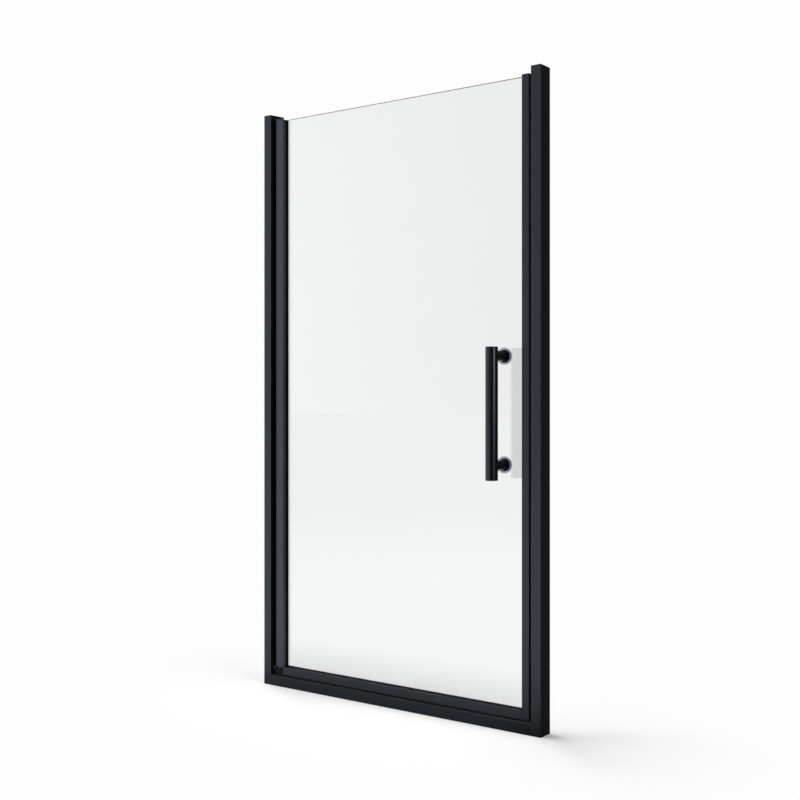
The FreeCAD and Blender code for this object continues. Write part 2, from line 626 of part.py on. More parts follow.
def pivot_thrust_washer():
    """Plain washer that the door's weight rests on."""
    washer = rod(PIVOT_X, PIVOT_Y, WASHER_BOTTOM, Z_AXIS, THRUST_WASHER_THICKNESS, THRUST_WASHER_RADIUS)
    hole = rod(PIVOT_X, PIVOT_Y, WASHER_BOTTOM, Z_AXIS, THRUST_WASHER_THICKNESS, PIVOT_HOLE_RADIUS)
    return washer.cut(hole)


# ================================================================ frame: seals
def hinge_side_seal():
    """Bulb strip in the hinge jamb, beside the hinge stile."""
    tip = HINGE_STILE_LEFT - SIDE_SEAL_GAP
    y0, y1 = SIDE_SEAL_Y - SIDE_SEAL_WIDTH / 2, SIDE_SEAL_Y + SIDE_SEAL_WIDTH / 2
    body = rounded_block(HINGE_JAMB_RIGHT, tip, y0, y1, STILE_FOOT, DOOR_TOP, SIDE_SEAL_ROUNDING, Z_AXIS)
    half = STRIP_SLOT_WIDTH / 2 - STRIP_GAP
    root_x = HINGE_JAMB_RIGHT - STRIP_SLOT_DEPTH + STRIP_GAP
    middle = (HINGE_JAMB_RIGHT + tip) / 2
    root = block(root_x, middle, SIDE_SEAL_Y - half, SIDE_SEAL_Y + half, STILE_FOOT, DOOR_TOP)
    return body.fuse(root).removeSplitter()


def magnet_strip(face, tip, into):
    """Magnet strip rooted in a slot behind a face; its foot is clear of the bracket's screw."""
    x0, x1 = min(face, tip), max(face, tip)
    y0, y1 = MAGNET_Y - MAGNET_WIDTH / 2, MAGNET_Y + MAGNET_WIDTH / 2
    bottom = RAIL_BOTTOM + STILE_CAP_THICKNESS + MAGNET_LIFT
    body = rounded_block(x0, x1, y0, y1, bottom, DOOR_TOP, EDGE_RADIUS, Z_AXIS)
    half = MAGNET_SLOT_WIDTH / 2 - STRIP_GAP
    root_end = face + into * (MAGNET_SLOT_DEPTH - STRIP_GAP)
    middle = (face + tip) / 2
    root_x0, root_x1 = min(root_end, middle), max(root_end, middle)
    root = block(root_x0, root_x1, MAGNET_Y - half, MAGNET_Y + half, bottom, DOOR_TOP)
    return body.fuse(root).removeSplitter()


def frame_magnet_strip():
    """Magnet strip on the strike jamb."""
    tip = STRIKE_STILE_RIGHT + DOOR_MAGNET_REACH + MAGNET_MEETING_GAP
    return magnet_strip(STRIKE_JAMB_LEFT, tip, 1)


# ================================================================ door: stiles and rail
def hinge_stile():
    """Upright profile at the pivots: an L-shaped chamber with a groove for the glass."""
    x0, x1 = HINGE_STILE_LEFT, HINGE_STILE_RIGHT
    solid = rounded_block(x0, x1, DOOR_FRONT, DOOR_BACK, STILE_FOOT, DOOR_TOP, EDGE_RADIUS, Z_AXIS)
    groove = block(x1 - GROOVE_DEPTH, x1, GROOVE_FRONT, GROOVE_BACK, STILE_FOOT, DOOR_TOP)
    chamber = hinge_stile_chamber(STILE_FOOT, DOOR_TOP, 0)
    tools = [groove, chamber]
    for x, z in corner_plate_screw_places()[:2]:
        tools.append(screw_hole(x, DOOR_BACK, z, Y_AXIS * -1, PROFILE_WALL + CUT_OVERRUN))
    return cut_all(solid, tools)


def hinge_stile_chamber(bottom, top, gap):
    """The hinge stile's hollow, or a plug for it when a gap is given."""
    x0 = HINGE_STILE_LEFT + PROFILE_WALL + gap
    x1 = HINGE_STILE_RIGHT - PROFILE_WALL - gap
    behind_groove = HINGE_STILE_RIGHT - GROOVE_DEPTH - PROFILE_WALL - gap
    y0, y1 = DOOR_FRONT + PROFILE_WALL + gap, DOOR_BACK - PROFILE_WALL - gap
    front = block(x0, x1, y0, GROOVE_FRONT - PROFILE_WALL - gap, bottom, top)
    rear = block(x0, behind_groove, y0, y1, bottom, top)
    return front.fuse(rear).removeSplitter()


def stile_top_bush():
    """Bush plugged in the hinge stile's top, bored for the top pivot screw."""
    bottom = DOOR_TOP - BUSH_LENGTH
    plug = hinge_stile_chamber(bottom, DOOR_TOP, PLUG_GAP)
    return plug.cut(rod(PIVOT_X, PIVOT_Y, bottom + BUSH_END_WALL, Z_AXIS, BUSH_LENGTH, PIVOT_HOLE_RADIUS))


def stile_bottom_bush():
    """Bush plugged in the hinge stile's foot, bored for the bottom pivot pin."""
    top = STILE_FOOT + BUSH_LENGTH
    plug = hinge_stile_chamber(STILE_FOOT, top, PLUG_GAP)
    depth = BUSH_LENGTH - BUSH_END_WALL
    return plug.cut(rod(PIVOT_X, PIVOT_Y, STILE_FOOT, Z_AXIS, depth, PIVOT_HOLE_RADIUS))


def strike_stile_rear_chamber(bottom, top, gap):
    """Hollow between the glass groove and the magnet slot, or a plug for it."""
    x0 = STRIKE_STILE_LEFT + GROOVE_DEPTH + PROFILE_WALL + gap
    x1 = STRIKE_STILE_RIGHT - MAGNET_SLOT_DEPTH - PROFILE_WALL - gap
    return block(x0, x1, GROOVE_FRONT + gap, DOOR_BACK - PROFILE_WALL - gap, bottom, top)


def strike_stile():
    """Upright profile on the strike side, with the glass groove and the magnet slot."""
    x0, x1 = STRIKE_STILE_LEFT, STRIKE_STILE_RIGHT
    bottom = RAIL_BOTTOM + STILE_CAP_THICKNESS
    solid = rounded_block(x0, x1, DOOR_FRONT, DOOR_BACK, bottom, DOOR_TOP, EDGE_RADIUS, Z_AXIS)
    groove = block(x0, x0 + GROOVE_DEPTH, GROOVE_FRONT, GROOVE_BACK, bottom, DOOR_TOP)
    half = MAGNET_SLOT_WIDTH / 2
    slot = block(x1 - MAGNET_SLOT_DEPTH, x1, MAGNET_Y - half, MAGNET_Y + half, bottom, DOOR_TOP)
    front_x0, front_x1 = x0 + PROFILE_WALL, x1 - PROFILE_WALL
    front_y0, front_y1 = DOOR_FRONT + PROFILE_WALL, GROOVE_FRONT - PROFILE_WALL
    front = block(front_x0, front_x1, front_y0, front_y1, bottom, DOOR_TOP)
    rear = strike_stile_rear_chamber(bottom, DOOR_TOP, 0)
    tools = [groove, slot, front, rear]
    access_x = x1 - PROFILE_WALL - CUT_OVERRUN
    for y, z in rail_port_places():
        tools.append(screw_hole(x0, y, z, X_AXIS, PROFILE_WALL + CUT_OVERRUN))
        tools.append(rod(access_x, y, z, X_AXIS, PROFILE_WALL + 2 * CUT_OVERRUN, ACCESS_HOLE_RADIUS))
    return cut_all(solid, tools)


def strike_stile_cap(bottom, plug_bottom):
    """End cap of the strike stile: a plate with a plug in the rear chamber."""
    x0, x1 = STRIKE_STILE_LEFT, STRIKE_STILE_RIGHT
    top = bottom + STILE_CAP_THICKNESS
    plate = rounded_block(x0, x1, DOOR_FRONT, DOOR_BACK, bottom, top, EDGE_RADIUS, Z_AXIS)
    plug = strike_stile_rear_chamber(plug_bottom, plug_bottom + STILE_CAP_PLUG, PLUG_GAP)
    return plate.fuse(plug)


def bottom_rail():
    """Horizontal profile under the glass, between the stiles."""
    x0, x1 = HINGE_STILE_RIGHT, STRIKE_STILE_LEFT
    solid = rounded_block(x0, x1, DOOR_FRONT, DOOR_BACK, RAIL_BOTTOM, RAIL_TOP, EDGE_RADIUS, X_AXIS)
    low, high = RAIL_BOTTOM + PROFILE_WALL, RAIL_TOP - PROFILE_WALL
    under_groove = RAIL_TOP - GROOVE_DEPTH - PROFILE_WALL
    y0, y1 = DOOR_FRONT + PROFILE_WALL, DOOR_BACK - PROFILE_WALL
    solid = solid.cut(block(x0, x1, y0, GROOVE_FRONT - PROFILE_WALL, low, high))
    solid = solid.cut(block(x0, x1, y0, y1, low, under_groove))
    solid = solid.cut(block(x0, x1, GROOVE_FRONT, GROOVE_BACK, RAIL_TOP - GROOVE_DEPTH, RAIL_TOP))
    half = STRIP_SLOT_WIDTH / 2
    rib_top = RAIL_BOTTOM + STRIP_SLOT_DEPTH + PROFILE_WALL
    rib_y0, rib_y1 = SWEEP_Y - half - PROFILE_WALL, SWEEP_Y + half + PROFILE_WALL
    solid = solid.fuse(block(x0, x1, rib_y0, rib_y1, RAIL_BOTTOM, rib_top))
    for y, z in rail_port_places():
        solid = solid.fuse(rod(x0, y, z, X_AXIS, x1 - x0, SCREW_PORT_RADIUS))
    tools = [block(x0, x1, SWEEP_Y - half, SWEEP_Y + half, RAIL_BOTTOM, RAIL_BOTTOM + STRIP_SLOT_DEPTH)]
    for y, z in rail_port_places():
        tools.append(rod(x0, y, z, X_AXIS, x1 - x0, SCREW_RADIUS + SCREW_GAP))
    for x, z in corner_plate_screw_places()[2:]:
        tools.append(screw_hole(x, DOOR_BACK, z, Y_AXIS * -1, PROFILE_WALL + CUT_OVERRUN))
    return cut_all(solid, tools).removeSplitter()


def rail_corner_screws():
    """Screws through the strike stile's inner wall into the rail's ports."""
    seat = STRIKE_STILE_LEFT + PROFILE_WALL
    return [screw(seat, y, z, X_AXIS * -1, CORNER_SCREW_LENGTH) for y, z in rail_port_places()]


def rail_corner_plate():
    """Flat corner plate on the back that ties the rail to the hinge stile."""
    x0 = HINGE_STILE_LEFT + CORNER_PLATE_MARGIN
    z0 = corner_plate_bottom()
    y1 = DOOR_BACK + CORNER_PLATE_THICKNESS
    upright = block(x0, x0 + CORNER_PLATE_LEG, DOOR_BACK, y1, z0, z0 + CORNER_PLATE_HEIGHT)
    foot = block(x0, x0 + CORNER_PLATE_LENGTH, DOOR_BACK, y1, z0, z0 + CORNER_PLATE_LEG)
    solid = upright.fuse(foot).removeSplitter()
    holes = [screw_hole(x, y1, z, Y_AXIS * -1, SCREW_LENGTH) for x, z in corner_plate_screw_places()]
    return cut_all(solid, holes)


def corner_plate_screws():
    """Screws of the corner plate."""
    y = DOOR_BACK + CORNER_PLATE_THICKNESS
    return [screw(x, y, z, Y_AXIS * -1) for x, z in corner_plate_screw_places()]


def door_magnet_strip():
    """Magnet strip on the strike stile."""
    tip = STRIKE_STILE_RIGHT + DOOR_MAGNET_REACH
    return magnet_strip(STRIKE_STILE_RIGHT, tip, -1)


def door_sweep_seal():
    """Strip under the bottom rail that closes the gap above the threshold."""
    x0, x1 = HINGE_STILE_RIGHT, STRIKE_STILE_LEFT
    y0, y1 = SWEEP_Y - SWEEP_WIDTH / 2, SWEEP_Y + SWEEP_WIDTH / 2
    body = block(x0, x1, y0, y1, RAIL_BOTTOM - SWEEP_DROP, RAIL_BOTTOM)
    half = STRIP_SLOT_WIDTH / 2 - STRIP_GAP
    root_top = RAIL_BOTTOM + STRIP_SLOT_DEPTH - STRIP_GAP
    root = block(x0, x1, SWEEP_Y - half, SWEEP_Y + half, RAIL_BOTTOM, root_top)
    return body.fuse(root)


# ================================================================ door: glass and gaskets
def glass_panel():
    """Pane with two handle holes and a corner cut back to the rail's end."""
    pane = block(GLASS_LEFT, GLASS_RIGHT, GLASS_FRONT, GLASS_BACK, GLASS_BOTTOM, DOOR_TOP)
    notch = block(GLASS_LEFT, HINGE_STILE_RIGHT, GLASS_FRONT, GLASS_BACK, GLASS_BOTTOM, STILE_FOOT)
    tools = [notch]
    for z in HANDLE_HEIGHTS:
        tools.append(rod(HANDLE_X, GLASS_FRONT, z, Y_AXIS, GLASS_THICKNESS, GLASS_HOLE_RADIUS))
    return cut_all(pane, tools)


def upright_gasket(face, into):
    """Channel gasket that grips the glass in a stile's groove, with lips on the face."""
    bottom_x = face + into * (GROOVE_DEPTH - GASKET_GAP)
    lip_x = face - into * GASKET_LIP
    x0, x1 = min(bottom_x, face), max(bottom_x, face)
    lip_x0, lip_x1 = min(face, lip_x), max(face, lip_x)
    body = block(x0, x1, GROOVE_FRONT + GASKET_GAP, GROOVE_BACK - GASKET_GAP, STILE_FOOT, DOOR_TOP)
    lip_y0, lip_y1 = GROOVE_FRONT - GASKET_LIP_OVERLAP, GROOVE_BACK + GASKET_LIP_OVERLAP
    lips = block(lip_x0, lip_x1, lip_y0, lip_y1, STILE_FOOT, DOOR_TOP)
    glass_edge = face + into * GLASS_BITE
    slot_x0, slot_x1 = min(glass_edge, lip_x), max(glass_edge, lip_x)
    slot = block(slot_x0, slot_x1, GLASS_FRONT, GLASS_BACK, STILE_FOOT, DOOR_TOP)
    return body.fuse(lips).cut(slot).removeSplitter()


def hinge_glazing_gasket():
    """Gasket between the glass and the hinge stile."""
    lip_end = HINGE_STILE_RIGHT + GASKET_LIP
    rail_lip_top = RAIL_TOP + RAIL_GASKET_LIP
    corner = block(HINGE_STILE_RIGHT, lip_end, DOOR_FRONT, DOOR_BACK, STILE_FOOT, rail_lip_top)
    return upright_gasket(HINGE_STILE_RIGHT, -1).cut(corner)


def strike_glazing_gasket():
    """Gasket between the glass and the strike stile."""
    lip_end = STRIKE_STILE_LEFT - GASKET_LIP
    rail_lip_top = RAIL_TOP + RAIL_GASKET_LIP
    corner = block(lip_end, STRIKE_STILE_LEFT, DOOR_FRONT, DOOR_BACK, STILE_FOOT, rail_lip_top)
    return upright_gasket(STRIKE_STILE_LEFT, 1).cut(corner)


def bottom_glazing_gasket():
    """Gasket between the glass and the rail, with a broad apron on the outside."""
    x0, x1 = HINGE_STILE_RIGHT, STRIKE_STILE_LEFT
    low = RAIL_TOP - GROOVE_DEPTH + GASKET_GAP
    body = block(x0, x1, GROOVE_FRONT + GASKET_GAP, GROOVE_BACK - GASKET_GAP, low, RAIL_TOP)
    lip_y0, lip_y1 = GLASS_FRONT - GASKET_APRON, GROOVE_BACK + GASKET_LIP_OVERLAP
    lips = block(x0, x1, lip_y0, lip_y1, RAIL_TOP, RAIL_TOP + RAIL_GASKET_LIP)
    slot = block(x0, x1, GLASS_FRONT, GLASS_BACK, GLASS_BOTTOM, RAIL_TOP + RAIL_GASKET_LIP)
    return body.fuse(lips).cut(slot).removeSplitter()


# ================================================================ door: handle
def handle_bar():
    """Upright grab tube of the handle."""
    bottom = BAR_BOTTOM + BAR_CAP_THICKNESS
    length = BAR_TOP - BAR_CAP_THICKNESS - bottom
    return tube(HANDLE_X, BAR_Y, bottom, Z_AXIS, length, BAR_RADIUS, BAR_RADIUS - BAR_WALL)


def handle_bar_caps():
    """Discs that close the tube's two ends."""
    caps = []
    for z, inward in ((BAR_BOTTOM, Z_AXIS), (BAR_TOP, Z_AXIS * -1)):
        disc = rod(HANDLE_X, BAR_Y, z, inward, BAR_CAP_THICKNESS, BAR_RADIUS)
        disc = disc.makeFillet(BAR_CAP_ROUNDING, far_edges(disc, inward))
        seat = z + inward.z * BAR_CAP_THICKNESS
        plug = rod(HANDLE_X, BAR_Y, seat, inward, BAR_CAP_PLUG, BAR_RADIUS - BAR_WALL - PLUG_GAP)
        caps.append(disc.fuse(plug))
    return caps


def handle_posts():
    """Two round necks between the tube and the rosettes, hollowed to the tube's curve."""
    posts = []
    for z in HANDLE_HEIGHTS:
        neck = rod(HANDLE_X, BAR_Y, z, Y_AXIS, ROSETTE_FRONT - BAR_Y, POST_RADIUS)
        reach = POST_RADIUS + CUT_OVERRUN
        saddle = rod(HANDLE_X, BAR_Y, z - reach, Z_AXIS, 2 * reach, BAR_RADIUS + SCREW_GAP)
        thread = rod(HANDLE_X, ROSETTE_FRONT - STUD_IN_POST, z, Y_AXIS, STUD_IN_POST, STUD_HOLE_RADIUS)
        posts.append(cut_all(neck, [saddle, thread]))
    return posts


def handle_rosettes():
    """Discs between the necks and the clear washers."""
    discs = []
    for z in HANDLE_HEIGHTS:
        disc = rod(HANDLE_X, ROSETTE_FRONT, z, Y_AXIS, ROSETTE_THICKNESS, ROSETTE_RADIUS)
        disc = disc.makeFillet(ROSETTE_ROUNDING, far_edges(disc, Y_AXIS))
        discs.append(disc.cut(rod(HANDLE_X, ROSETTE_FRONT, z, Y_AXIS, ROSETTE_THICKNESS, STUD_HOLE_RADIUS)))
    return discs


def glass_washers(y, radius):
    """Clear washers against the glass."""
    washers = []
    for z in HANDLE_HEIGHTS:
        washers.append(tube(HANDLE_X, y, z, Y_AXIS, WASHER_THICKNESS, radius, STUD_HOLE_RADIUS))
    return washers


def handle_glass_bushes():
    """Sleeves that keep the studs off the glass."""
    bushes = []
    for z in HANDLE_HEIGHTS:
        sleeve = rod(HANDLE_X, GLASS_FRONT, z, Y_AXIS, GLASS_THICKNESS, GLASS_BUSH_RADIUS)
        bore = rod(HANDLE_X, GLASS_FRONT, z, Y_AXIS, GLASS_THICKNESS, STUD_HOLE_RADIUS)
        bushes.append(sleeve.cut(bore))
    return bushes


def handle_studs():
    """Studs from the necks through the glass into the rear caps."""
    start = ROSETTE_FRONT - STUD_IN_POST
    end = WASHER_BACK + REAR_CAP_THICKNESS - REAR_CAP_WALL
    return [rod(HANDLE_X, start, z, Y_AXIS, end - start, STUD_RADIUS) for z in HANDLE_HEIGHTS]


def handle_rear_caps():
    """Round cap nuts on the shower side."""
    caps = []
    depth = REAR_CAP_THICKNESS - REAR_CAP_WALL
    for z in HANDLE_HEIGHTS:
        disc = rod(HANDLE_X, WASHER_BACK, z, Y_AXIS, REAR_CAP_THICKNESS, REAR_CAP_RADIUS)
        disc = disc.makeFillet(REAR_CAP_ROUNDING, far_edges(disc, Y_AXIS * -1))
        caps.append(disc.cut(rod(HANDLE_X, WASHER_BACK, z, Y_AXIS, depth, STUD_HOLE_RADIUS)))
    return caps


# ================================================================ write every node
def build_frame():
    """Nodes that stay on the walls and the floor."""
    save("hinge_wall_channel", wall_channel(WALL_LEFT, HINGE_MOUTH, -1, THRESHOLD_HEIGHT))
    save("strike_wall_channel", wall_channel(STRIKE_MOUTH, WALL_RIGHT, 1, 0))
    save("hinge_jamb", hinge_jamb())
    save("strike_jamb", strike_jamb())
    save("hinge_channel_cap", hinge_channel_cap())
    save("strike_channel_cap", strike_channel_cap())
    save("jamb_fixing_screws", *jamb_fixing_screws())
    save("fixing_screw_covers", *fixing_screw_covers())
    save("threshold", threshold())
    save("threshold_end_cap", threshold_end_cap())
    save("threshold_bracket", threshold_bracket())
    save("threshold_bracket_screws", *threshold_bracket_screws())
    save("top_pivot_plate", top_pivot_plate())
    save("top_pivot_plate_screws", *top_pivot_plate_screws())
    save("top_pivot_screw", top_pivot_screw())
    save("bottom_pivot_block", bottom_pivot_block())
    save("bottom_block_screws", *bottom_block_screws())
    save("bottom_pivot_pin", bottom_pivot_pin())
    save("pivot_height_nut", pivot_height_nut())
    save("pivot_thrust_washer", pivot_thrust_washer())
    save("hinge_side_seal", hinge_side_seal())
    save("frame_magnet_strip", frame_magnet_strip())


def build_door():
    """Nodes that turn with the door."""
    save("hinge_stile", hinge_stile())
    save("stile_top_bush", stile_top_bush())
    save("stile_bottom_bush", stile_bottom_bush())
    save("strike_stile", strike_stile())
    save("strike_stile_top_cap", strike_stile_cap(DOOR_TOP, DOOR_TOP - STILE_CAP_PLUG))
    save("strike_stile_bottom_cap", strike_stile_cap(RAIL_BOTTOM, RAIL_BOTTOM + STILE_CAP_THICKNESS))
    save("bottom_rail", bottom_rail())
    save("rail_corner_screws", *rail_corner_screws())
    save("rail_corner_plate", rail_corner_plate())
    save("corner_plate_screws", *corner_plate_screws())
    save("door_magnet_strip", door_magnet_strip())
    save("door_sweep_seal", door_sweep_seal())
    save("glass_panel", glass_panel())
    save("hinge_glazing_gasket", hinge_glazing_gasket())
    save("strike_glazing_gasket", strike_glazing_gasket())
    save("bottom_glazing_gasket", bottom_glazing_gasket())
    save("handle_bar", handle_bar())
    save("handle_bar_caps", *handle_bar_caps())
    save("handle_posts", *handle_posts())
    save("handle_rosettes", *handle_rosettes())
    save("handle_front_washers", *glass_washers(WASHER_FRONT, WASHER_RADIUS))
    save("handle_glass_bushes", *handle_glass_bushes())
    save("handle_rear_washers", *glass_washers(GLASS_BACK, REAR_WASHER_RADIUS))
    save("handle_studs", *handle_studs())
    save("handle_rear_caps", *handle_rear_caps())


os.makedirs("parts", exist_ok=True)
build_frame()
build_door()
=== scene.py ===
"""Looks of the pivot shower door: its finishes, its glass pane and a plain studio round it."""
import logging
import math
from dataclasses import dataclass, field
from enum import Enum
from typing import Callable

import bpy
from mathutils import Matrix, Vector


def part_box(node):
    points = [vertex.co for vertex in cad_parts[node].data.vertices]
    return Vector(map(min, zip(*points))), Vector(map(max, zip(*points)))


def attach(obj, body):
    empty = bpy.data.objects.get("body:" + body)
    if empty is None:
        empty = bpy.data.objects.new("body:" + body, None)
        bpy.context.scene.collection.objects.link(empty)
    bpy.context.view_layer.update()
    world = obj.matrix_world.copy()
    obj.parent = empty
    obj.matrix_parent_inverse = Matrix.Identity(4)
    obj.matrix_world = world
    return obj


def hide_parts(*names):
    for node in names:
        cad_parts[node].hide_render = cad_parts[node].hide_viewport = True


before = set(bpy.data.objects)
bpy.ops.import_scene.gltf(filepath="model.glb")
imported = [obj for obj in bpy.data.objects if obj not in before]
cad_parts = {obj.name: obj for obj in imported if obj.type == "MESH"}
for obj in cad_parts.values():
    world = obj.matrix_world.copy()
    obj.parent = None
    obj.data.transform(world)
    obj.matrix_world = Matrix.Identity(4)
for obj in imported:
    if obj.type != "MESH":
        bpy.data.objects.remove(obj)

LOG = logging.getLogger("shower_door")
Colour = tuple[float, float, float]
Point = tuple[float, float, float]
Span = tuple[float, float]
Noise = tuple[float, float]
Socket = bpy.types.NodeSocket

PRINCIPLED = "ShaderNodeBsdfPrincipled"
NODE_STEP = 190.0
FIRST_COLUMN = -1400.0
# The Mix node's sockets for colours, whose names its other kinds of socket share.
MIX_SHARE, MIX_FIRST, MIX_SECOND, MIX_RESULT = 0, 6, 7, 2
WHOLE: Span = (0.0, 1.0)
FALLING: Span = (1.0, 0.0)
# Nearly all of a noise lies in this span.
NOISE_SPAN: Span = (0.3, 0.7)
# A count below this is none.
NONE_YET = 0.5
HALF_TURN = 180.0


def opaque(colour: Colour) -> tuple[float, float, float, float]:
    """Give a colour the fourth number that Blender's colour sockets want."""
    return (*colour, 1.0)


def grey(level: float) -> Colour:
    """Give the neutral colour of a brightness."""
    return (level, level, level)


# ---------------------------------------------------------------- node trees
@dataclass
class Graph:
    """A node tree that is being filled in.

    Args:
        tree: the node tree of a material, a world or a shader group.
        column: where the next node stands in the editor.
    """

    tree: bpy.types.NodeTree
    column: float = FIRST_COLUMN

    def add(self, kind: str, **settings: object) -> bpy.types.Node:
        """Add one node to the right of the last one.

        Args:
            kind: Blender's name of the node's type.
            settings: properties of the node to set.

        Returns:
            The new node.
        """
        node = self.tree.nodes.new(kind)
        node.location = (self.column, 0)
        self.column += NODE_STEP
        for name, value in settings.items():
            setattr(node, name, value)
        return node

    def link(self, source: Socket, target: Socket) -> None:
        """Join an output to an input."""
        self.tree.links.new(source, target)

    def feed(self, node: bpy.types.Node, key: str | int, value: object) -> None:
        """Give an input a link or a plain value.

        Args:
            node: the node that holds the input.
            key: the input's name or number.
            value: an output socket, a number or a tuple of numbers.
        """
        if isinstance(value, Socket):
            self.link(value, node.inputs[key])
        else:
            node.inputs[key].default_value = value

    def feed_all(self, node: bpy.types.Node, values: dict[str, object]) -> None:
        """Give several inputs their links or values.

        Args:
            node: the node that holds the inputs.
            values: each input's name, with its spaces written as underscores, and its value.
        """
        for name, value in values.items():
            self.feed(node, name.replace("_", " "), value)

    def maths(self, operation: str, *values: object) -> Socket:
        """Add a Math node.

        Args:
            operation: what the node works out.
            values: its inputs, in order.

        Returns:
            The node's output.
        """
        node = self.add("ShaderNodeMath", operation=operation)
        for index, value in enumerate(values):
            self.feed(node, index, value)
        return node.outputs[0]

    def times(self, first: object, second: object) -> Socket:
        """Multiply two values."""
        return self.maths("MULTIPLY", first, second)

    def length(self, vector: Socket) -> Socket:
        """Work out how long a vector is."""
        node = self.add("ShaderNodeVectorMath", operation="LENGTH")
        self.link(vector, node.inputs[0])
        return node.outputs["Value"]

    def parts(self, vector: Socket) -> bpy.types.NodeOutputs:
        """Split a vector into its X, Y and Z."""
        node = self.add("ShaderNodeSeparateXYZ")
        self.link(vector, node.inputs[0])
        return node.outputs

    def spread(self, value: object, span: Span, result: Span = WHOLE) -> Socket:
        """Map a value from one span to another, without going past the second.

        Args:
            value: the output to map.
            span: start and end of the first span.
            result: start and end of the second span.

        Returns:
            The mapped value.
        """
        node = self.add("ShaderNodeMapRange")
        for index, number in enumerate((value, *span, *result)):
            self.feed(node, index, number)
        return node.outputs[0]

    def blend(self, share: Socket, first: Colour | Socket, second: Colour | Socket) -> Socket:
        """Mix two colours.

        Args:
            share: how much of the second colour shows, from 0 to 1.
            first: a colour or an output.
            second: a colour or an output.

        Returns:
            The mixed colour.
        """
        node = self.add("ShaderNodeMix", data_type="RGBA")
        self.feed(node, MIX_SHARE, share)
        for key, colour in ((MIX_FIRST, first), (MIX_SECOND, second)):
            self.feed(node, key, colour if isinstance(colour, Socket) else opaque(colour))
        return node.outputs[MIX_RESULT]

    def stretched(self, vector: Socket, scale: Point) -> Socket:
        """Scale a vector along each axis."""
        node = self.add("ShaderNodeMapping")
        self.feed_all(node, {"Vector": vector, "Scale": scale})
        return node.outputs[0]

    def noise(self, vector: Socket, scale: object, detail: float, roughness: float) -> Socket:
        """Add a noise texture.

        Args:
            vector: where on the surface.
            scale: how fine the noise is.
            detail: how many finer layers it has.
            roughness: how strong the finer layers are.

        Returns:
            The noise as a value round 0.5.
        """
        node = self.add("ShaderNodeTexNoise")
        self.feed_all(
            node, {"Vector": vector, "Scale": scale, "Detail": detail, "Roughness": roughness}
        )
        return node.outputs[0]

    def shader(self, kind: str, **inputs: object) -> Socket:
        """Add a shader and feed its inputs.

        Args:
            kind: Blender's name of the shader's type.
            inputs: the shader's inputs, with spaces in their names written as underscores.

        Returns:
            The shader's output.
        """
        node = self.add(kind)
        self.feed_all(node, inputs)
        return node.outputs[0]

    def choose(self, share: Socket, first: Socket, second: Socket) -> Socket:
        """Mix two shaders.

        Args:
            share: how much of the second shader shows, from 0 to 1.
            first: the shader seen at 0.
            second: the shader seen at 1.

        Returns:
            The mixed shader.
        """
        node = self.add("ShaderNodeMixShader")
        for index, source in enumerate((share, first, second)):
            self.link(source, node.inputs[index])
        return node.outputs[0]

    def finish(self, kind: str, shader: Socket) -> None:
        """Add the tree's output node and join the shader to its surface.

        Args:
            kind: Blender's name of the output node's type.
            shader: the finished shader.
        """
        self.link(shader, self.add(kind).inputs["Surface"])


class Effect(Enum):
    """Surface effects that several finishes share, each one shader group."""

    GRAIN = "coat_grain"
    EDGE = "edge_catch"
    DUST = "settled_dust"


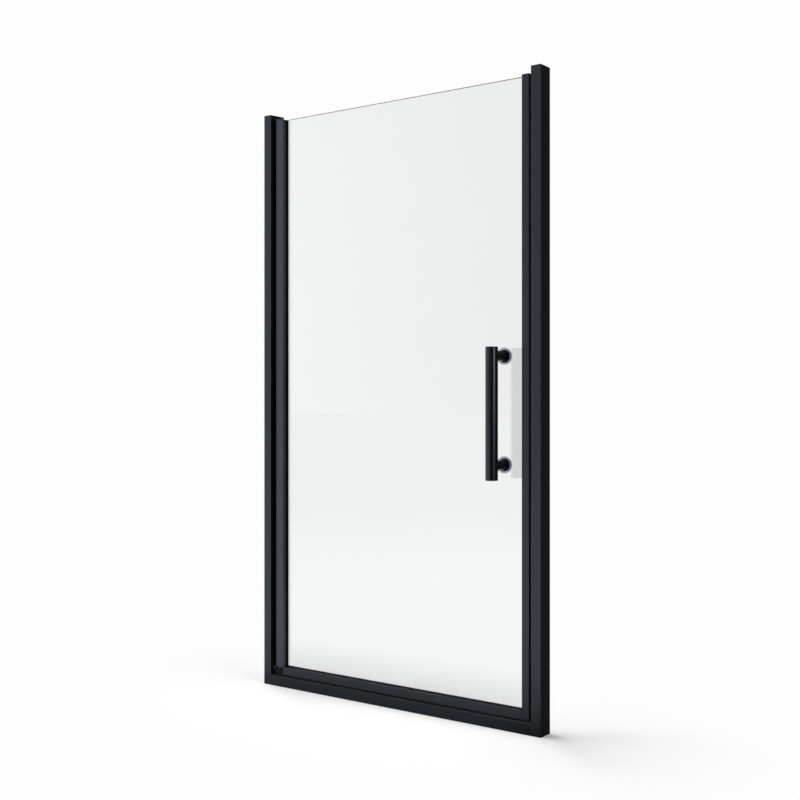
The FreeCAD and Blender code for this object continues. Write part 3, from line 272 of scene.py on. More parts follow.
@dataclass
class EffectLibrary:
    """Builds each shared shader group once and places it in the finishes.

    Args:
        fine_noise: detail and roughness of the fine bumps.
        broad_noise: detail and roughness of the broad changes of tone.
        bevel_samples: how often a bevelled edge is looked at for each ray.
        edge_span: how alike the true and the softened normal are where the mask starts, and
            where it is full.
        upward_span: how far up a face looks where dust starts to lie, and where it is thickest.
        speckle_scale: how fine the dust's speckles are.
        speckle_noise: detail and roughness of the speckles.
        speckle_span: the part of the speckles' noise that shows.
        speckle_levels: how much dust lies between speckles, and on them.
        made: the groups made so far.
    """

    fine_noise: Noise = (3.0, 0.6)
    broad_noise: Noise = (4.0, 0.55)
    bevel_samples: int = 4
    edge_span: Span = (0.995, 0.8)
    upward_span: Span = (0.6, 1.0)
    speckle_scale: float = 60.0
    speckle_noise: Noise = (6.0, 0.7)
    speckle_span: Span = (0.4, 0.75)
    speckle_levels: Span = (0.2, 1.0)
    made: dict[Effect, bpy.types.NodeTree] = field(default_factory=dict)

    def place(self, graph: Graph, effect: Effect, **values: object) -> bpy.types.Node:
        """Put an effect into a material.

        Args:
            graph: the material's node tree.
            effect: which effect.
            values: the group's inputs, with spaces in their names written as underscores.

        Returns:
            The group node.
        """
        if effect not in self.made:
            builders: dict[Effect, Callable[[], bpy.types.NodeTree]] = {
                Effect.GRAIN: self._grain,
                Effect.EDGE: self._edge,
                Effect.DUST: self._dust,
            }
            self.made[effect] = builders[effect]()
        node = graph.add("ShaderNodeGroup")
        node.node_tree = self.made[effect]
        graph.feed_all(node, values)
        return node

    @staticmethod
    def _start(
        effect: Effect, inputs: dict[str, str], outputs: dict[str, str]
    ) -> tuple[Graph, bpy.types.Node, bpy.types.Node]:
        """Make an empty group with its sockets.

        Args:
            effect: which effect the group is for.
            inputs: socket name to its kind.
            outputs: socket name to its kind.

        Returns:
            The group's graph, its input node and its output node.
        """
        tree = bpy.data.node_groups.new(effect.value, "ShaderNodeTree")
        for side, sockets in (("INPUT", inputs), ("OUTPUT", outputs)):
            for name, kind in sockets.items():
                tree.interface.new_socket(name, in_out=side, socket_type=kind)
        graph = Graph(tree)
        return graph, graph.add("NodeGroupInput"), graph.add("NodeGroupOutput")

    def _grain(self) -> bpy.types.NodeTree:
        """Fine bumps of a surface, and broad soft changes of its tone and shine."""
        graph, given, result = self._start(
            Effect.GRAIN,
            {
                "Vector": "NodeSocketVector",
                "Fine Scale": "NodeSocketFloat",
                "Broad Scale": "NodeSocketFloat",
            },
            {"Height": "NodeSocketFloat", "Tone": "NodeSocketFloat"},
        )
        vector = given.outputs["Vector"]
        fine = graph.noise(vector, given.outputs["Fine Scale"], *self.fine_noise)
        broad = graph.noise(vector, given.outputs["Broad Scale"], *self.broad_noise)
        graph.link(fine, result.inputs["Height"])
        graph.link(graph.spread(broad, NOISE_SPAN), result.inputs["Tone"])
        return graph.tree

    def _edge(self) -> bpy.types.NodeTree:
        """A softened normal at sharp edges, and a mask of where the edges are."""
        graph, given, result = self._start(
            Effect.EDGE,
            {"Radius": "NodeSocketFloat", "Strength": "NodeSocketFloat"},
            {"Normal": "NodeSocketVector", "Mask": "NodeSocketFloat"},
        )
        bevel = graph.add("ShaderNodeBevel", samples=self.bevel_samples)
        graph.link(given.outputs["Radius"], bevel.inputs["Radius"])
        surface = graph.add("ShaderNodeNewGeometry")
        turned = graph.add("ShaderNodeVectorMath", operation="DOT_PRODUCT")
        graph.link(bevel.outputs[0], turned.inputs[0])
        graph.link(surface.outputs["Normal"], turned.inputs[1])
        mask = graph.spread(turned.outputs["Value"], self.edge_span)
        graph.link(graph.times(mask, given.outputs["Strength"]), result.inputs["Mask"])
        graph.link(bevel.outputs[0], result.inputs["Normal"])
        return graph.tree

    def _dust(self) -> bpy.types.NodeTree:
        """Thin dust that lies on faces that look up."""
        graph, given, result = self._start(
            Effect.DUST,
            {"Vector": "NodeSocketVector", "Amount": "NodeSocketFloat"},
            {"Mask": "NodeSocketFloat"},
        )
        surface = graph.add("ShaderNodeNewGeometry")
        upward = graph.spread(graph.parts(surface.outputs["Normal"])["Z"], self.upward_span)
        noise = graph.noise(given.outputs["Vector"], self.speckle_scale, *self.speckle_noise)
        speckle = graph.spread(noise, self.speckle_span, self.speckle_levels)
        settled = graph.times(graph.times(upward, speckle), given.outputs["Amount"])
        graph.link(settled, result.inputs["Mask"])
        return graph.tree


EFFECTS = EffectLibrary()


# ---------------------------------------------------------------- finishes
@dataclass(frozen=True)
class Grain:
    """How a surface's grain looks.

    Args:
        fine: how fine the small bumps are.
        broad: how fine the soft changes of tone are.
        bump: how strongly the small bumps show.
        height: how high they stand, in metres.
    """

    fine: float
    broad: float
    bump: float = 0.0
    height: float = 0.0


@dataclass(frozen=True)
class Edge:
    """How a surface's sharp edges look.

    Args:
        radius: how round they look, in metres.
        strength: how far the painted highlight's colour takes over there, from 0 to 1.
    """

    radius: float
    strength: float = 1.0


@dataclass(frozen=True)
class Dust:
    """How dusty a surface is.

    Args:
        amount: how much dust lies on a level face, from 0 to 1.
        colour: the dust's colour.
    """

    amount: float
    colour: Colour


@dataclass(frozen=True)
class Finish:
    """What every finish has: a name, a grain and a way to make its material once.

    Args:
        name: the material's name.
        grain: how its grain looks.
    """

    name: str
    grain: Grain = Grain(fine=1500.0, broad=9.0)

    def material(self) -> bpy.types.Material:
        """Make the material, or give back the one already made."""
        found = bpy.data.materials.get(self.name)
        if found is not None:
            return found
        made = bpy.data.materials.new(self.name)
        made.use_nodes = True
        made.node_tree.nodes.clear()
        graph = Graph(made.node_tree)
        place = graph.add("ShaderNodeTexCoord").outputs["Object"]
        graph.finish("ShaderNodeOutputMaterial", self.shade(graph, place))
        return made

    def shade(self, graph: Graph, place: Socket) -> Socket:
        """Build the finish's shader.

        Args:
            graph: the material's empty tree.
            place: where on the object a point lies.

        Returns:
            The shader's output.
        """
        raise NotImplementedError

    def grained(self, graph: Graph, place: Socket) -> bpy.types.NodeOutputs:
        """Place the grain effect.

        Args:
            graph: the material's tree.
            place: where on the object a point lies.

        Returns:
            The effect's outputs: Height and Tone.
        """
        values = {"Vector": place, "Fine_Scale": self.grain.fine, "Broad_Scale": self.grain.broad}
        return EFFECTS.place(graph, Effect.GRAIN, **values).outputs

    def bumped(self, graph: Graph, height: Socket, normal: Socket | None = None) -> Socket:
        """Turn the grain into bumps.

        Args:
            graph: the material's tree.
            height: the grain's height.
            normal: the normal to bump, if it isn't the face's own.

        Returns:
            The bumped normal.
        """
        node = graph.add("ShaderNodeBump")
        values = {"Strength": self.grain.bump, "Distance": self.grain.height, "Height": height}
        graph.feed_all(node, values)
        if normal is not None:
            graph.link(normal, node.inputs["Normal"])
        return node.outputs[0]


def edged(graph: Graph, edge: Edge) -> bpy.types.NodeOutputs:
    """Place the edge effect.

    Args:
        graph: the material's tree.
        edge: how the edges look.

    Returns:
        The effect's outputs: Normal and Mask.
    """
    return EFFECTS.place(graph, Effect.EDGE, Radius=edge.radius, Strength=edge.strength).outputs


def dusted(graph: Graph, place: Socket, tone: Socket, dust: Dust) -> Socket:
    """Lay dust on a colour.

    Args:
        graph: the material's tree.
        place: where on the object a point lies.
        tone: the clean surface's colour.
        dust: how dusty the surface is.

    Returns:
        The dusty colour.
    """
    settled = EFFECTS.place(graph, Effect.DUST, Vector=place, Amount=dust.amount)
    return graph.blend(settled.outputs["Mask"], tone, dust.colour)


@dataclass(frozen=True)
class PowderCoat(Finish):
    """Satin black coat on an extrusion or on steel, with fine grain and a painted highlight on its
    edges.

    Args:
        edge: how its sharp edges look.
        dust: how dusty it is.
        colour: its darker tone.
        light_colour: its lighter tone.
        edge_highlight_colour: its painted highlight, a lighter tone at sharp edges.
        sheen_tint: the tint of its gloss seen square on.
        roughness: of the darker and of the lighter tone.
        specular: how strong its gloss is.
        draw: how the grain is stretched along each axis.
    """

    grain: Grain = Grain(fine=1500.0, broad=9.0, bump=0.10, height=0.00004)
    edge: Edge = Edge(radius=0.0005, strength=0.6)
    dust: Dust = Dust(amount=0.02, colour=(0.35, 0.34, 0.32))
    colour: Colour = (0.0080, 0.0100, 0.0125)
    light_colour: Colour = (0.0100, 0.0122, 0.0150)
    edge_highlight_colour: Colour = (0.022, 0.026, 0.031)
    sheen_tint: Colour = (0.70, 0.82, 1.0)
    roughness: Span = (0.33, 0.40)
    specular: float = 0.85
    draw: Point = (1.0, 1.0, 1.0)

    def shade(self, graph: Graph, place: Socket) -> Socket:
        """Build the coat: grain along the drawing direction, softened edges with a painted
        highlight, and a little dust.
        """
        grain = self.grained(graph, graph.stretched(place, self.draw))
        edge = edged(graph, self.edge)
        tone = graph.blend(grain["Tone"], self.colour, self.light_colour)
        # Painted highlight: a lighter tone laid over the coat at its sharp edges.
        lit = graph.blend(edge["Mask"], tone, self.edge_highlight_colour)
        return graph.shader(
            PRINCIPLED,
            Base_Color=dusted(graph, place, lit, self.dust),
            Roughness=graph.spread(grain["Tone"], WHOLE, self.roughness),
            Normal=self.bumped(graph, grain["Height"], edge["Normal"]),
            Specular_IOR_Level=self.specular,
            Specular_Tint=opaque(self.sheen_tint),
        )


@dataclass(frozen=True)
class Rubber(Finish):
    """Matt black extruded seal.

    Args:
        dust: how dusty it is.
        colour: its darker tone.
        light_colour: its lighter tone.
        roughness: of the darker and of the lighter tone.
        specular: how strong its gloss is.
    """

    grain: Grain = Grain(fine=900.0, broad=14.0, bump=0.2, height=0.00006)
    dust: Dust = Dust(amount=0.02, colour=(0.3, 0.29, 0.27))
    colour: Colour = (0.0016, 0.0017, 0.0018)
    light_colour: Colour = (0.0034, 0.0035, 0.0037)
    roughness: Span = (0.62, 0.75)
    specular: float = 0.1

    def shade(self, graph: Graph, place: Socket) -> Socket:
        """Build the rubber: dull, with a slightly paler bloom and a little dust."""
        grain = self.grained(graph, place)
        tone = graph.blend(grain["Tone"], self.colour, self.light_colour)
        return graph.shader(
            PRINCIPLED,
            Base_Color=dusted(graph, place, tone, self.dust),
            Roughness=graph.spread(grain["Tone"], WHOLE, self.roughness),
            Normal=self.bumped(graph, grain["Height"]),
            Specular_IOR_Level=self.specular,
        )


@dataclass(frozen=True)
class Moulding(Finish):
    """Moulded black plastic with a fine sparked texture.

    Args:
        edge: how its sharp edges look.
        colour: its darker tone.
        light_colour: its lighter tone.
        roughness: of the darker and of the lighter tone.
        specular: how strong its gloss is.
    """

    grain: Grain = Grain(fine=1200.0, broad=30.0, bump=0.25, height=0.00005)
    edge: Edge = Edge(radius=0.0004)
    colour: Colour = (0.0035, 0.0038, 0.0042)
    light_colour: Colour = (0.0055, 0.0058, 0.0064)
    roughness: Span = (0.42, 0.52)
    specular: float = 0.25

    def shade(self, graph: Graph, place: Socket) -> Socket:
        """Build the plastic: sparked grain and soft edges."""
        grain = self.grained(graph, place)
        edge = edged(graph, self.edge)
        return graph.shader(
            PRINCIPLED,
            Base_Color=graph.blend(grain["Tone"], self.colour, self.light_colour),
            Roughness=graph.spread(grain["Tone"], WHOLE, self.roughness),
            Normal=self.bumped(graph, grain["Height"], edge["Normal"]),
            Specular_IOR_Level=self.specular,
        )


@dataclass(frozen=True)
class Steel(Finish):
    """Plain stainless steel of the screws and pivot pieces.

    Args:
        edge: how its sharp edges look.
        colour: its brighter tone.
        dull_colour: its duller tone.
        edge_highlight_colour: its painted highlight, a lighter tone at sharp edges.
        roughness: of its smoothest and of its roughest spots.
    """

    grain: Grain = Grain(fine=2600.0, broad=120.0)
    edge: Edge = Edge(radius=0.0003)
    colour: Colour = (0.56, 0.56, 0.55)
    dull_colour: Colour = (0.42, 0.42, 0.41)
    edge_highlight_colour: Colour = (0.72, 0.72, 0.71)
    roughness: Span = (0.22, 0.38)

    def shade(self, graph: Graph, place: Socket) -> Socket:
        """Build the steel: uneven shine and a painted highlight on its edges."""
        grain = self.grained(graph, place)
        edge = edged(graph, self.edge)
        tone = graph.blend(grain["Tone"], self.dull_colour, self.colour)
        return graph.shader(
            PRINCIPLED,
            # Painted highlight: sharp edges get a lighter colour.
            Base_Color=graph.blend(edge["Mask"], tone, self.edge_highlight_colour),
            Roughness=graph.spread(grain["Height"], NOISE_SPAN, self.roughness),
            Normal=edge["Normal"],
            Metallic=1.0,
        )


@dataclass(frozen=True)
class Clear(Finish):
    """A clear, colour-tinted body that lamps shine through.

    Args:
        tint: its colour.
        second_tint: the colour that it softly changes to.
        roughness: of the body.
        ior: how strongly the body bends light.
        coat: how much of the body has a mirror coat.
        coat_ior: how strongly the coat mirrors.
        coat_roughness: of the coat.
        shadow: the colour of light that has passed through.
    """

    grain: Grain = Grain(fine=400.0, broad=1.4)
    tint: Colour = (0.962, 0.977, 0.986)
    second_tint: Colour = (0.980, 0.988, 0.992)
    roughness: float = 0.0
    ior: float = 1.5
    coat: float = 1.0
    coat_ior: float = 2.3
    coat_roughness: float = 0.0
    shadow: Colour = (0.95, 0.955, 0.96)

    def shade(self, graph: Graph, place: Socket) -> Socket:
        """Build the clear body: a faint change of tint, and a pale shadow."""
        grain = self.grained(graph, place)
        body = graph.shader(
            PRINCIPLED,
            Base_Color=graph.blend(grain["Tone"], self.tint, self.second_tint),
            Roughness=self.roughness,
            Transmission_Weight=1.0,
            IOR=self.ior,
            Coat_Weight=self.coat,
            Coat_IOR=self.coat_ior,
            Coat_Roughness=self.coat_roughness,
        )
        through = graph.shader("ShaderNodeBsdfTransparent", Color=opaque(self.shadow))
        path = graph.add("ShaderNodeLightPath")
        return graph.choose(path.outputs["Is Shadow Ray"], body, through)


@dataclass(frozen=True)
class GroundEdge(Finish):
    """The pane's ground and polished edge, which looks dark from most sides.

    Args:
        colour: its darker tone.
        light_colour: its lighter tone.
        roughness: of its smoothest and of its roughest spots.
    """

    grain: Grain = Grain(fine=1600.0, broad=40.0)
    colour: Colour = (0.006, 0.009, 0.009)
    light_colour: Colour = (0.012, 0.017, 0.017)
    roughness: Span = (0.12, 0.3)

    def shade(self, graph: Graph, place: Socket) -> Socket:
        """Build the edge: a dark sea-green band, polished unevenly."""
        grain = self.grained(graph, place)
        return graph.shader(
            PRINCIPLED,
            Base_Color=graph.blend(grain["Tone"], self.colour, self.light_colour),
            Roughness=graph.spread(grain["Height"], NOISE_SPAN, self.roughness),
        )


# Profiles are drawn along their length, so their grain is stretched along it.
UPRIGHT: Point = (1.0, 1.0, 0.03)
LEVEL: Point = (0.03, 1.0, 1.0)

CHANNEL_COAT = PowderCoat("channel_coat", draw=UPRIGHT)
STILE_COAT = PowderCoat("stile_coat", draw=UPRIGHT)
# Painted light: a lighter copy of the stile coat, so the hinge stile's front renders brighter than
# the other profiles.
HINGE_STILE_PAINTED_LIGHT_COAT = PowderCoat(
    "hinge_stile_painted_light_coat",
    colour=(0.034, 0.043, 0.050),
    light_colour=(0.041, 0.051, 0.059),
    specular=1.0,
    draw=UPRIGHT,
)
RAIL_COAT = PowderCoat("rail_coat", draw=LEVEL)
# Painted shade: a darker, less glossy copy of the coat, so the low threshold renders darker.
SILL_PAINTED_SHADE_COAT = PowderCoat(
    "sill_painted_shade_coat",
    colour=(0.0055, 0.0068, 0.0085),
    light_colour=(0.0070, 0.0085, 0.0105),
    specular=0.6,
    draw=LEVEL,
)
HANDLE_COAT = PowderCoat(
    "handle_coat",
    colour=(0.0036, 0.0043, 0.0054),
    light_colour=(0.0050, 0.0060, 0.0074),
    specular=0.75,
    roughness=(0.17, 0.21),
    draw=UPRIGHT,
)
# Painted shade: a darker, less glossy copy of the coat for the jamb deep in its channel, and for
# the handle's necks and rosettes between the tube and the glass.
DEEP_PAINTED_SHADE_COAT = PowderCoat(
    "deep_painted_shade_coat",
    colour=(0.0030, 0.0034, 0.0040),
    light_colour=(0.0042, 0.0047, 0.0055),
    specular=0.4,
    roughness=(0.30, 0.36),
)
FITTING_COAT = PowderCoat("fitting_coat")
SEAL_RUBBER = Rubber("seal_rubber")
BLACK_MOULDING = Moulding("black_moulding")
PLAIN_STEEL = Steel("plain_steel")
DARK_STEEL = Steel("dark_steel", colour=(0.10, 0.10, 0.10), dull_colour=(0.06, 0.06, 0.06))
PANE_GLASS = Clear("pane_glass")
CLEAR_WASHER = Clear(
    "clear_washer",
    tint=(0.42, 0.44, 0.54),
    second_tint=(0.50, 0.52, 0.60),
    coat=0.0,
    ior=1.49,
)
PANE_EDGE = GroundEdge("pane_edge")


def dress(node: str, finish: Finish) -> None:
    """Give a carried-over solid its finish.

    Args:
        node: the solid's name.
        finish: what it is finished with.
    """
    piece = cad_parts[node]
    piece.data.materials.clear()
    piece.data.materials.append(finish.material())
    LOG.info("%s: %s", node, finish.name)


# ---------------------------------------------------------------- sub-assemblies
@dataclass
class DressedAssembly:
    """A sub-assembly whose solids keep their shape and only get a finish.

    Args:
        finishes: each solid's name and its finish.
    """

    finishes: dict[str, Finish]

    def build(self) -> None:
        """Dress every solid of the sub-assembly."""
        for node, finish in self.finishes.items():
            dress(node, finish)
        LOG.info("%s: %d solids dressed", type(self).__name__, len(self.finishes))


@dataclass
class WallFrame(DressedAssembly):
    """What stays on the walls: channels, sliding jambs, caps, screw covers and strips."""

    finishes: dict[str, Finish] = field(
        default_factory=lambda: {
            "hinge_wall_channel": CHANNEL_COAT,
            "strike_wall_channel": CHANNEL_COAT,
            # Its darker coat is painted shade for the recess it sits in.
            "hinge_jamb": DEEP_PAINTED_SHADE_COAT,
            "strike_jamb": CHANNEL_COAT,
            "hinge_channel_cap": BLACK_MOULDING,
            "strike_channel_cap": BLACK_MOULDING,
            "jamb_fixing_screws": PLAIN_STEEL,
            "fixing_screw_covers": BLACK_MOULDING,
            "hinge_side_seal": SEAL_RUBBER,
            "frame_magnet_strip": SEAL_RUBBER,
        }
    )


@dataclass
class Sill(DressedAssembly):
    """The threshold with its end cap and its bracket."""

    finishes: dict[str, Finish] = field(
        default_factory=lambda: {
            # Its darker coat is painted shade.
            "threshold": SILL_PAINTED_SHADE_COAT,
            "threshold_end_cap": SILL_PAINTED_SHADE_COAT,
            "threshold_bracket": FITTING_COAT,
            "threshold_bracket_screws": PLAIN_STEEL,
        }
    )


@dataclass
class Pivots(DressedAssembly):
    """The top and bottom pivots that stay on the frame."""

    finishes: dict[str, Finish] = field(
        default_factory=lambda: {
            "top_pivot_plate": FITTING_COAT,
            "top_pivot_plate_screws": PLAIN_STEEL,
            "top_pivot_screw": FITTING_COAT,
            "bottom_pivot_block": BLACK_MOULDING,
            "bottom_block_screws": PLAIN_STEEL,
            "bottom_pivot_pin": PLAIN_STEEL,
            "pivot_height_nut": DARK_STEEL,
            "pivot_thrust_washer": DARK_STEEL,
        }
    )


@dataclass
class DoorFrame(DressedAssembly):
    """The turning door's stiles, rail, caps, corner plate, gaskets and strips.

    Its two nylon bushes keep the plain white that the record gives them.
    """

    finishes: dict[str, Finish] = field(
        default_factory=lambda: {
            # Its lighter coat is painted light.
            "hinge_stile": HINGE_STILE_PAINTED_LIGHT_COAT,
            "strike_stile": STILE_COAT,
            "bottom_rail": RAIL_COAT,
            "strike_stile_top_cap": BLACK_MOULDING,
            "strike_stile_bottom_cap": BLACK_MOULDING,
            "rail_corner_plate": FITTING_COAT,
            "rail_corner_screws": PLAIN_STEEL,
            "corner_plate_screws": PLAIN_STEEL,
            "door_magnet_strip": SEAL_RUBBER,
            "door_sweep_seal": SEAL_RUBBER,
            "hinge_glazing_gasket": SEAL_RUBBER,
            "strike_glazing_gasket": SEAL_RUBBER,
            "bottom_glazing_gasket": SEAL_RUBBER,
        }
    )


@dataclass
class PullHandle(DressedAssembly):
    """The upright tube handle on its two necks, with clear washers against the glass.

    Its nylon sleeves in the glass keep the plain white that the record gives them.
    """

    finishes: dict[str, Finish] = field(
        default_factory=lambda: {
            "handle_bar": HANDLE_COAT,
            "handle_bar_caps": HANDLE_COAT,
            # Their darker coat is painted shade between the tube and the glass.
            "handle_posts": DEEP_PAINTED_SHADE_COAT,
            "handle_rosettes": DEEP_PAINTED_SHADE_COAT,
            "handle_front_washers": CLEAR_WASHER,
            "handle_rear_washers": CLEAR_WASHER,
            "handle_studs": PLAIN_STEEL,
            "handle_rear_caps": HANDLE_COAT,
        }
    )


@dataclass
class Pane:
    """The toughened pane, with ground edges, a cut-back corner and two handle holes.

    Args:
        arris: how wide the ground bevel along its edges is, in metres.
        hole_clearance: gap between a hole and the sleeve in it, in metres.
        hole_points: how many points of a smooth curve a hole is drawn with.
        squareness: a face whose unit normal has more than this along Y is glass, the rest is edge.
    """

    arris: float = 0.0012
    hole_clearance: float = 0.0001
    hole_points: int = 8
    squareness: float = 0.99

    def build(self) -> None:
        """Build the pane in place of its plain solid."""
        pane = self._piece()
        pane.data.materials.append(PANE_GLASS.material())
        pane.data.materials.append(PANE_EDGE.material())
        for face in pane.data.polygons:
            face.material_index = 0 if abs(face.normal.y) > self.squareness else 1
        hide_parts("glass_panel")
        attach(pane, "door")
        LOG.info("%s: %s and %s", pane.name, PANE_GLASS.name, PANE_EDGE.name)

    def _piece(self) -> bpy.types.Object:
        """Make the pane as an outline that is given thickness and ground edges.

        Returns:
            The pane, in the row frame.
        """
        low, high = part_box("glass_panel")
        curve = bpy.data.curves.new("pane_outline", "CURVE")
        curve.dimensions = "2D"
        curve.fill_mode = "BOTH"
        self._add_outline(curve, low, high)
        for x, z, radius in self._holes():
            self._add_ring(curve, x, z, radius)
        curve.extrude = (high.y - low.y) / 2 - self.arris
        curve.bevel_depth = self.arris
        curve.bevel_resolution = 0
        curve.offset = -self.arris
        shape = bpy.data.objects.new("pane_shape", curve)
        bpy.context.scene.collection.objects.link(shape)
        bpy.context.view_layer.update()
        worked_out = shape.evaluated_get(bpy.context.evaluated_depsgraph_get())
        mesh = bpy.data.meshes.new_from_object(worked_out)
        bpy.data.objects.remove(shape)
        mesh.name = "glass_pane"
        stand = Matrix.Rotation(math.pi / 2, 4, "X")
        stand.translation = (0.0, (low.y + high.y) / 2, 0.0)
        mesh.transform(stand)
        mesh.materials.clear()
        pane = bpy.data.objects.new("glass_pane", mesh)
        bpy.context.scene.collection.objects.link(pane)
        return pane

    @staticmethod
    def _add_outline(curve: bpy.types.Curve, low: Vector, high: Vector) -> None:
        """Draw the pane's outline with the corner cut back at the hinge stile's foot.

        Args:
            curve: the flat curve to draw in.
            low: the pane's lowest corner.
            high: the pane's highest corner.
        """
        stile_low, stile_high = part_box("hinge_stile")
        corners = [
            (stile_high.x, low.z),
            (high.x, low.z),
            (high.x, high.z),
            (low.x, high.z),
            (low.x, stile_low.z),
            (stile_high.x, stile_low.z),
        ]
        spline = curve.splines.new("POLY")
        spline.points.add(len(corners) - 1)
        for point, (x, z) in zip(spline.points, corners):
            point.co = (x, z, 0.0, 1.0)
        spline.use_cyclic_u = True

    def _holes(self) -> list[tuple[float, float, float]]:
        """Where the two handle holes are: x, z and radius, round the nylon sleeves."""
        low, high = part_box("handle_glass_bushes")
        sleeve = (high.x - low.x) / 2
        radius = sleeve + self.hole_clearance
        x = (low.x + high.x) / 2
        return [(x, low.z + sleeve, radius), (x, high.z - sleeve, radius)]

    def _add_ring(self, curve: bpy.types.Curve, x: float, z: float, radius: float) -> None:
        """Draw one round hole.

        Args:
            curve: the flat curve to draw in.
            x: the hole's middle along the doorway.
            z: the hole's height.
            radius: the hole's radius.
        """
        spline = curve.splines.new("BEZIER")
        spline.bezier_points.add(self.hole_points - 1)
        for index, point in enumerate(spline.bezier_points):
            angle = 2 * math.pi * index / self.hole_points
            point.co = (x + radius * math.cos(angle), z + radius * math.sin(angle), 0.0)
            point.handle_left_type = point.handle_right_type = "AUTO"
        spline.use_cyclic_u = True


# ---------------------------------------------------------------- studio
@dataclass(frozen=True)
class Surround:
    """What gloss and daylight get from the room. Its spans are parts of a ray's unit direction.

    Args:
        levels: brightness at each azimuth, in degrees from straight ahead of the door, + to +X.
        lift_span: the upward part where the brightness starts to fall, and where it stops.
        lifted_share: what is left of the brightness from there up.
        overhead: brightness of the ceiling.
        overhead_span: the upward part where the ceiling starts, and where it is full.
        diffuse_share: how much of the brightness matt surfaces get.
        behind_span: the backward part where gloss starts to see plain white, and where it is full.
        left_span: the same for the part along X.
    """

    levels: tuple[Span, ...] = (
        (-180, 0.03), (-165, 0.03), (-150, 0.30), (-110, 0.90), (-90, 1.05), (-60, 1.05),
        (-43, 1.00), (-30, 0.74), (-10, 0.36), (10, 0.20), (32, 0.12), (62, 0.10),
        (67, 3.10), (78, 3.90), (90, 3.10), (98, 0.05), (143, 0.03), (180, 0.03),
    )
    lift_span: Span = (-0.05, 0.35)
    lifted_share: float = 0.9
    overhead: float = 1.2
    overhead_span: Span = (0.80, 0.92)
    diffuse_share: float = 0.65
    behind_span: Span = (0.55, 0.75)
    left_span: Span = (-0.38, -0.5)


@dataclass(frozen=True)
class Ground:
    """The floor's size and how bright it is. Its spans are in metres from the frame's origin.

    Args:
        size: the floor's length and width, in metres.
        white: its paint's brightness in a view of it.
        bounce: its paint's brightness for other light.
        dark: its paint's brightness for mirrored light that comes through the glass, and for
            gloss on the strike side.
        glow: the least share of plain white in a view of it.
        glow_stretch: makes the patch round the door that isn't white longer than it is deep.
        glow_span: where the share of white starts to grow, and where all is plain white.
        sheen_stretch: makes the dark patch that gloss sees longer than it is deep.
        sheen_span: where the white that gloss sees starts, and where it is full.
        fade_span: where that white starts to fall, and where it stops.
        fade_levels: how much of it is left at both.
        open_span: where gloss stops to see it along X.
    """

    size: float = 80.0
    white: float = 0.985
    bounce: float = 0.4
    dark: float = 0.03
    glow: float = 0.20
    glow_stretch: Point = (1.0, 2.0, 1.0)
    glow_span: Span = (0.60, 1.15)
    sheen_stretch: Point = (0.3, 1.0, 1.0)
    sheen_span: Span = (0.15, 0.6)
    fade_span: Span = (2.5, 6.0)
    fade_levels: Span = (0.8, 0.62)
    open_span: Span = (0.30, 0.50)


@dataclass(frozen=True)
class SoftLamp:
    """One broad, even light a long way off.

    Args:
        azimuth: where it stands, in degrees from straight ahead of the door, + towards +X.
        elevation: its height above the floor, in degrees.
        breadth: how broad it looks, in degrees.
        strength: how much light reaches a surface that faces it.
        distance: how far off it is placed, in metres, which doesn't change its light.
    """

    azimuth: float = -90.0
    elevation: float = 42.0
    breadth: float = 60.0
    strength: float = 2.82
    distance: float = 4.0


@dataclass(frozen=True)
class Viewpoint:
    """The camera that took the photograph.

    Args:
        place: where it stands, in metres.
        turn: how far it is turned to the left, in degrees.
        focal_length: in millimetres.
        sensor_width: in millimetres.
        shift_up: how far the picture is shifted, as a share of its width.
    """

    place: Point = (2.1169, -2.8354, 0.9317)
    turn: float = 36.538
    focal_length: float = 53.33
    sensor_width: float = 36.0
    shift_up: float = -0.006875


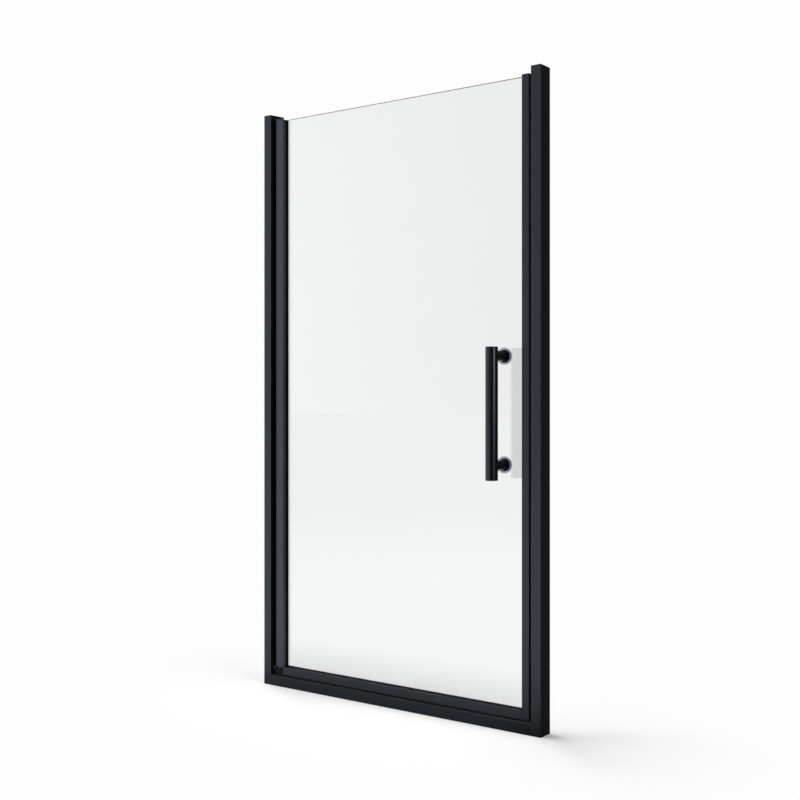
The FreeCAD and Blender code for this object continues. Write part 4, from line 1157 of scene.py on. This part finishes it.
@dataclass
class Studio:
    """A plain white room: soft surround, floor, one broad soft light and the camera.

    Args:
        surround: what gloss and daylight get from the room.
        ground: the floor.
        lamp: the soft light.
        viewpoint: the camera.
        back_white: brightness of the plain white that is seen behind the door.
    """

    surround: Surround = Surround()
    ground: Ground = Ground()
    lamp: SoftLamp = SoftLamp()
    viewpoint: Viewpoint = Viewpoint()
    back_white: float = 0.985

    def build(self) -> None:
        """Make the world, the floor, the light and the camera."""
        self._world()
        self._floor()
        self._light()
        self._camera()
        bpy.context.scene.view_settings.view_transform = "Standard"
        LOG.info("studio: ready")

    @staticmethod
    def _white_rays(graph: Graph, gloss: object) -> Socket:
        """Tell which rays see plain white: the camera's, those through glass, and some gloss.

        Args:
            graph: the tree to add to.
            gloss: how much of the gloss sees white, from 0 to 1.

        Returns:
            A value of 1 where white is seen.
        """
        path = graph.add("ShaderNodeLightPath").outputs
        unmirrored = graph.maths("LESS_THAN", path["Glossy Depth"], NONE_YET)
        through = graph.times(path["Is Transmission Ray"], unmirrored)
        seen = graph.maths("MAXIMUM", path["Is Camera Ray"], through)
        return graph.maths("MAXIMUM", seen, graph.times(path["Is Glossy Ray"], gloss))

    def _ring(self, graph: Graph, direction: bpy.types.NodeOutputs) -> Socket:
        """Give the surround's brightness at an azimuth.

        Args:
            graph: the world's tree.
            direction: the ray's X, Y and Z.

        Returns:
            The brightness.
        """
        forward = graph.times(direction["Y"], -1.0)
        angle = graph.maths("ARCTAN2", direction["X"], forward)
        ramp = graph.add("ShaderNodeValToRGB")
        graph.link(graph.spread(angle, (-math.pi, math.pi)), ramp.inputs[0])
        stops, levels = ramp.color_ramp.elements, self.surround.levels
        while len(stops) < len(levels):
            stops.new(0.5)
        brightest = max(level for _, level in levels)
        for stop, (azimuth, level) in zip(stops, levels):
            stop.position = (azimuth + HALF_TURN) / (2 * HALF_TURN)
            stop.color = opaque(grey(level / brightest))
        return graph.times(ramp.outputs[0], brightest)

    def _world(self) -> None:
        """White behind the door, and a surround with a bright left and one strip on the right."""
        world = bpy.data.worlds.new("studio_surround")
        bpy.context.scene.world = world
        world.use_nodes = True
        world.node_tree.nodes.clear()
        graph, given = Graph(world.node_tree), self.surround
        direction = graph.parts(graph.add("ShaderNodeTexCoord").outputs["Generated"])
        lift = graph.spread(direction["Z"], given.lift_span, (1.0, given.lifted_share))
        side = graph.times(self._ring(graph, direction), lift)
        high = graph.spread(direction["Z"], given.overhead_span)
        level = graph.maths(
            "ADD",
            graph.times(side, graph.maths("SUBTRACT", 1.0, high)),
            graph.times(high, given.overhead),
        )
        diffuse = graph.add("ShaderNodeLightPath").outputs["Is Diffuse Ray"]
        share = graph.spread(diffuse, WHOLE, (1.0, given.diffuse_share))
        light = graph.shader("ShaderNodeBackground", Strength=graph.times(level, share))
        white = graph.shader("ShaderNodeBackground", Color=opaque(grey(self.back_white)))
        behind = graph.spread(direction["Y"], given.behind_span)
        left = graph.spread(direction["X"], given.left_span)
        seen = self._white_rays(graph, graph.times(behind, left))
        graph.finish("ShaderNodeOutputWorld", graph.choose(seen, light, white))

    def _floor(self) -> None:
        """Lay the floor."""
        half = self.ground.size / 2
        corners = [(-half, -half, 0), (half, -half, 0), (half, half, 0), (-half, half, 0)]
        mesh = bpy.data.meshes.new("floor")
        mesh.from_pydata(corners, [], [(0, 1, 2, 3)])
        mesh.materials.append(self._floor_paint())
        floor = bpy.data.objects.new("floor", mesh)
        bpy.context.scene.collection.objects.link(floor)

    def _floor_paint(self) -> bpy.types.Material:
        """Make paint that keeps the door's shadow and turns to plain white further off.

        Returns:
            The floor's material.
        """
        material = bpy.data.materials.new("studio_floor")
        material.use_nodes = True
        material.node_tree.nodes.clear()
        graph, given = Graph(material.node_tree), self.ground
        place = graph.add("ShaderNodeTexCoord").outputs["Object"]
        path = graph.add("ShaderNodeLightPath").outputs
        glossy = path["Is Glossy Ray"]
        seen = self._white_rays(graph, 0.0)
        patch = graph.length(graph.stretched(place, given.glow_stretch))
        off = graph.spread(patch, given.glow_span)
        glow = graph.times(seen, graph.maths("MAXIMUM", off, given.glow))
        clear = graph.length(graph.stretched(place, given.sheen_stretch))
        fade = graph.spread(graph.length(place), given.fade_span, given.fade_levels)
        sheen = graph.times(glossy, graph.times(graph.spread(clear, given.sheen_span), fade))
        open_side = graph.spread(graph.parts(place)["X"], given.open_span, FALLING)
        closed = graph.times(glossy, graph.maths("SUBTRACT", 1.0, open_side))
        unlit = graph.maths("MAXIMUM", path["Is Transmission Ray"], closed)
        unseen = graph.blend(unlit, grey(given.bounce), grey(given.dark))
        paint = graph.blend(seen, unseen, grey(given.white))
        painted = graph.shader("ShaderNodeBsdfDiffuse", Color=paint)
        white = graph.shader("ShaderNodeEmission", Color=opaque(grey(self.back_white)))
        share = graph.maths("MAXIMUM", glow, graph.times(sheen, open_side))
        graph.finish("ShaderNodeOutputMaterial", graph.choose(share, painted, white))
        return material

    def _light(self) -> None:
        """Hang the soft lamp."""
        given = self.lamp
        data = bpy.data.lights.new("left_light", "SUN")
        data.energy = given.strength
        data.angle = math.radians(given.breadth)
        turn, rise = math.radians(given.azimuth), math.radians(given.elevation)
        level = math.cos(rise)
        towards = Vector((math.sin(turn) * level, -math.cos(turn) * level, math.sin(rise)))
        lamp = bpy.data.objects.new("left_light", data)
        lamp.visible_glossy = False
        lamp.location = towards * given.distance
        lamp.rotation_euler = (-towards).to_track_quat("-Z", "Y").to_euler()
        bpy.context.scene.collection.objects.link(lamp)

    def _camera(self) -> None:
        """Stand the camera where the photograph was taken from."""
        given = self.viewpoint
        data = bpy.data.cameras.new("photo_camera")
        data.lens = given.focal_length
        data.sensor_width = given.sensor_width
        data.shift_y = given.shift_up
        camera = bpy.data.objects.new("photo_camera", data)
        camera.location = given.place
        camera.rotation_euler = (math.pi / 2, 0.0, math.radians(given.turn))
        bpy.context.scene.collection.objects.link(camera)
        bpy.context.scene.camera = camera


def main() -> None:
    """Build every sub-assembly in order."""
    logging.basicConfig(level=logging.INFO, format="%(name)s: %(message)s")
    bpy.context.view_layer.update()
    for assembly in (WallFrame(), Sill(), Pivots(), DoorFrame(), Pane(), PullHandle(), Studio()):
        assembly.build()


if __name__ == "__main__":
    main()
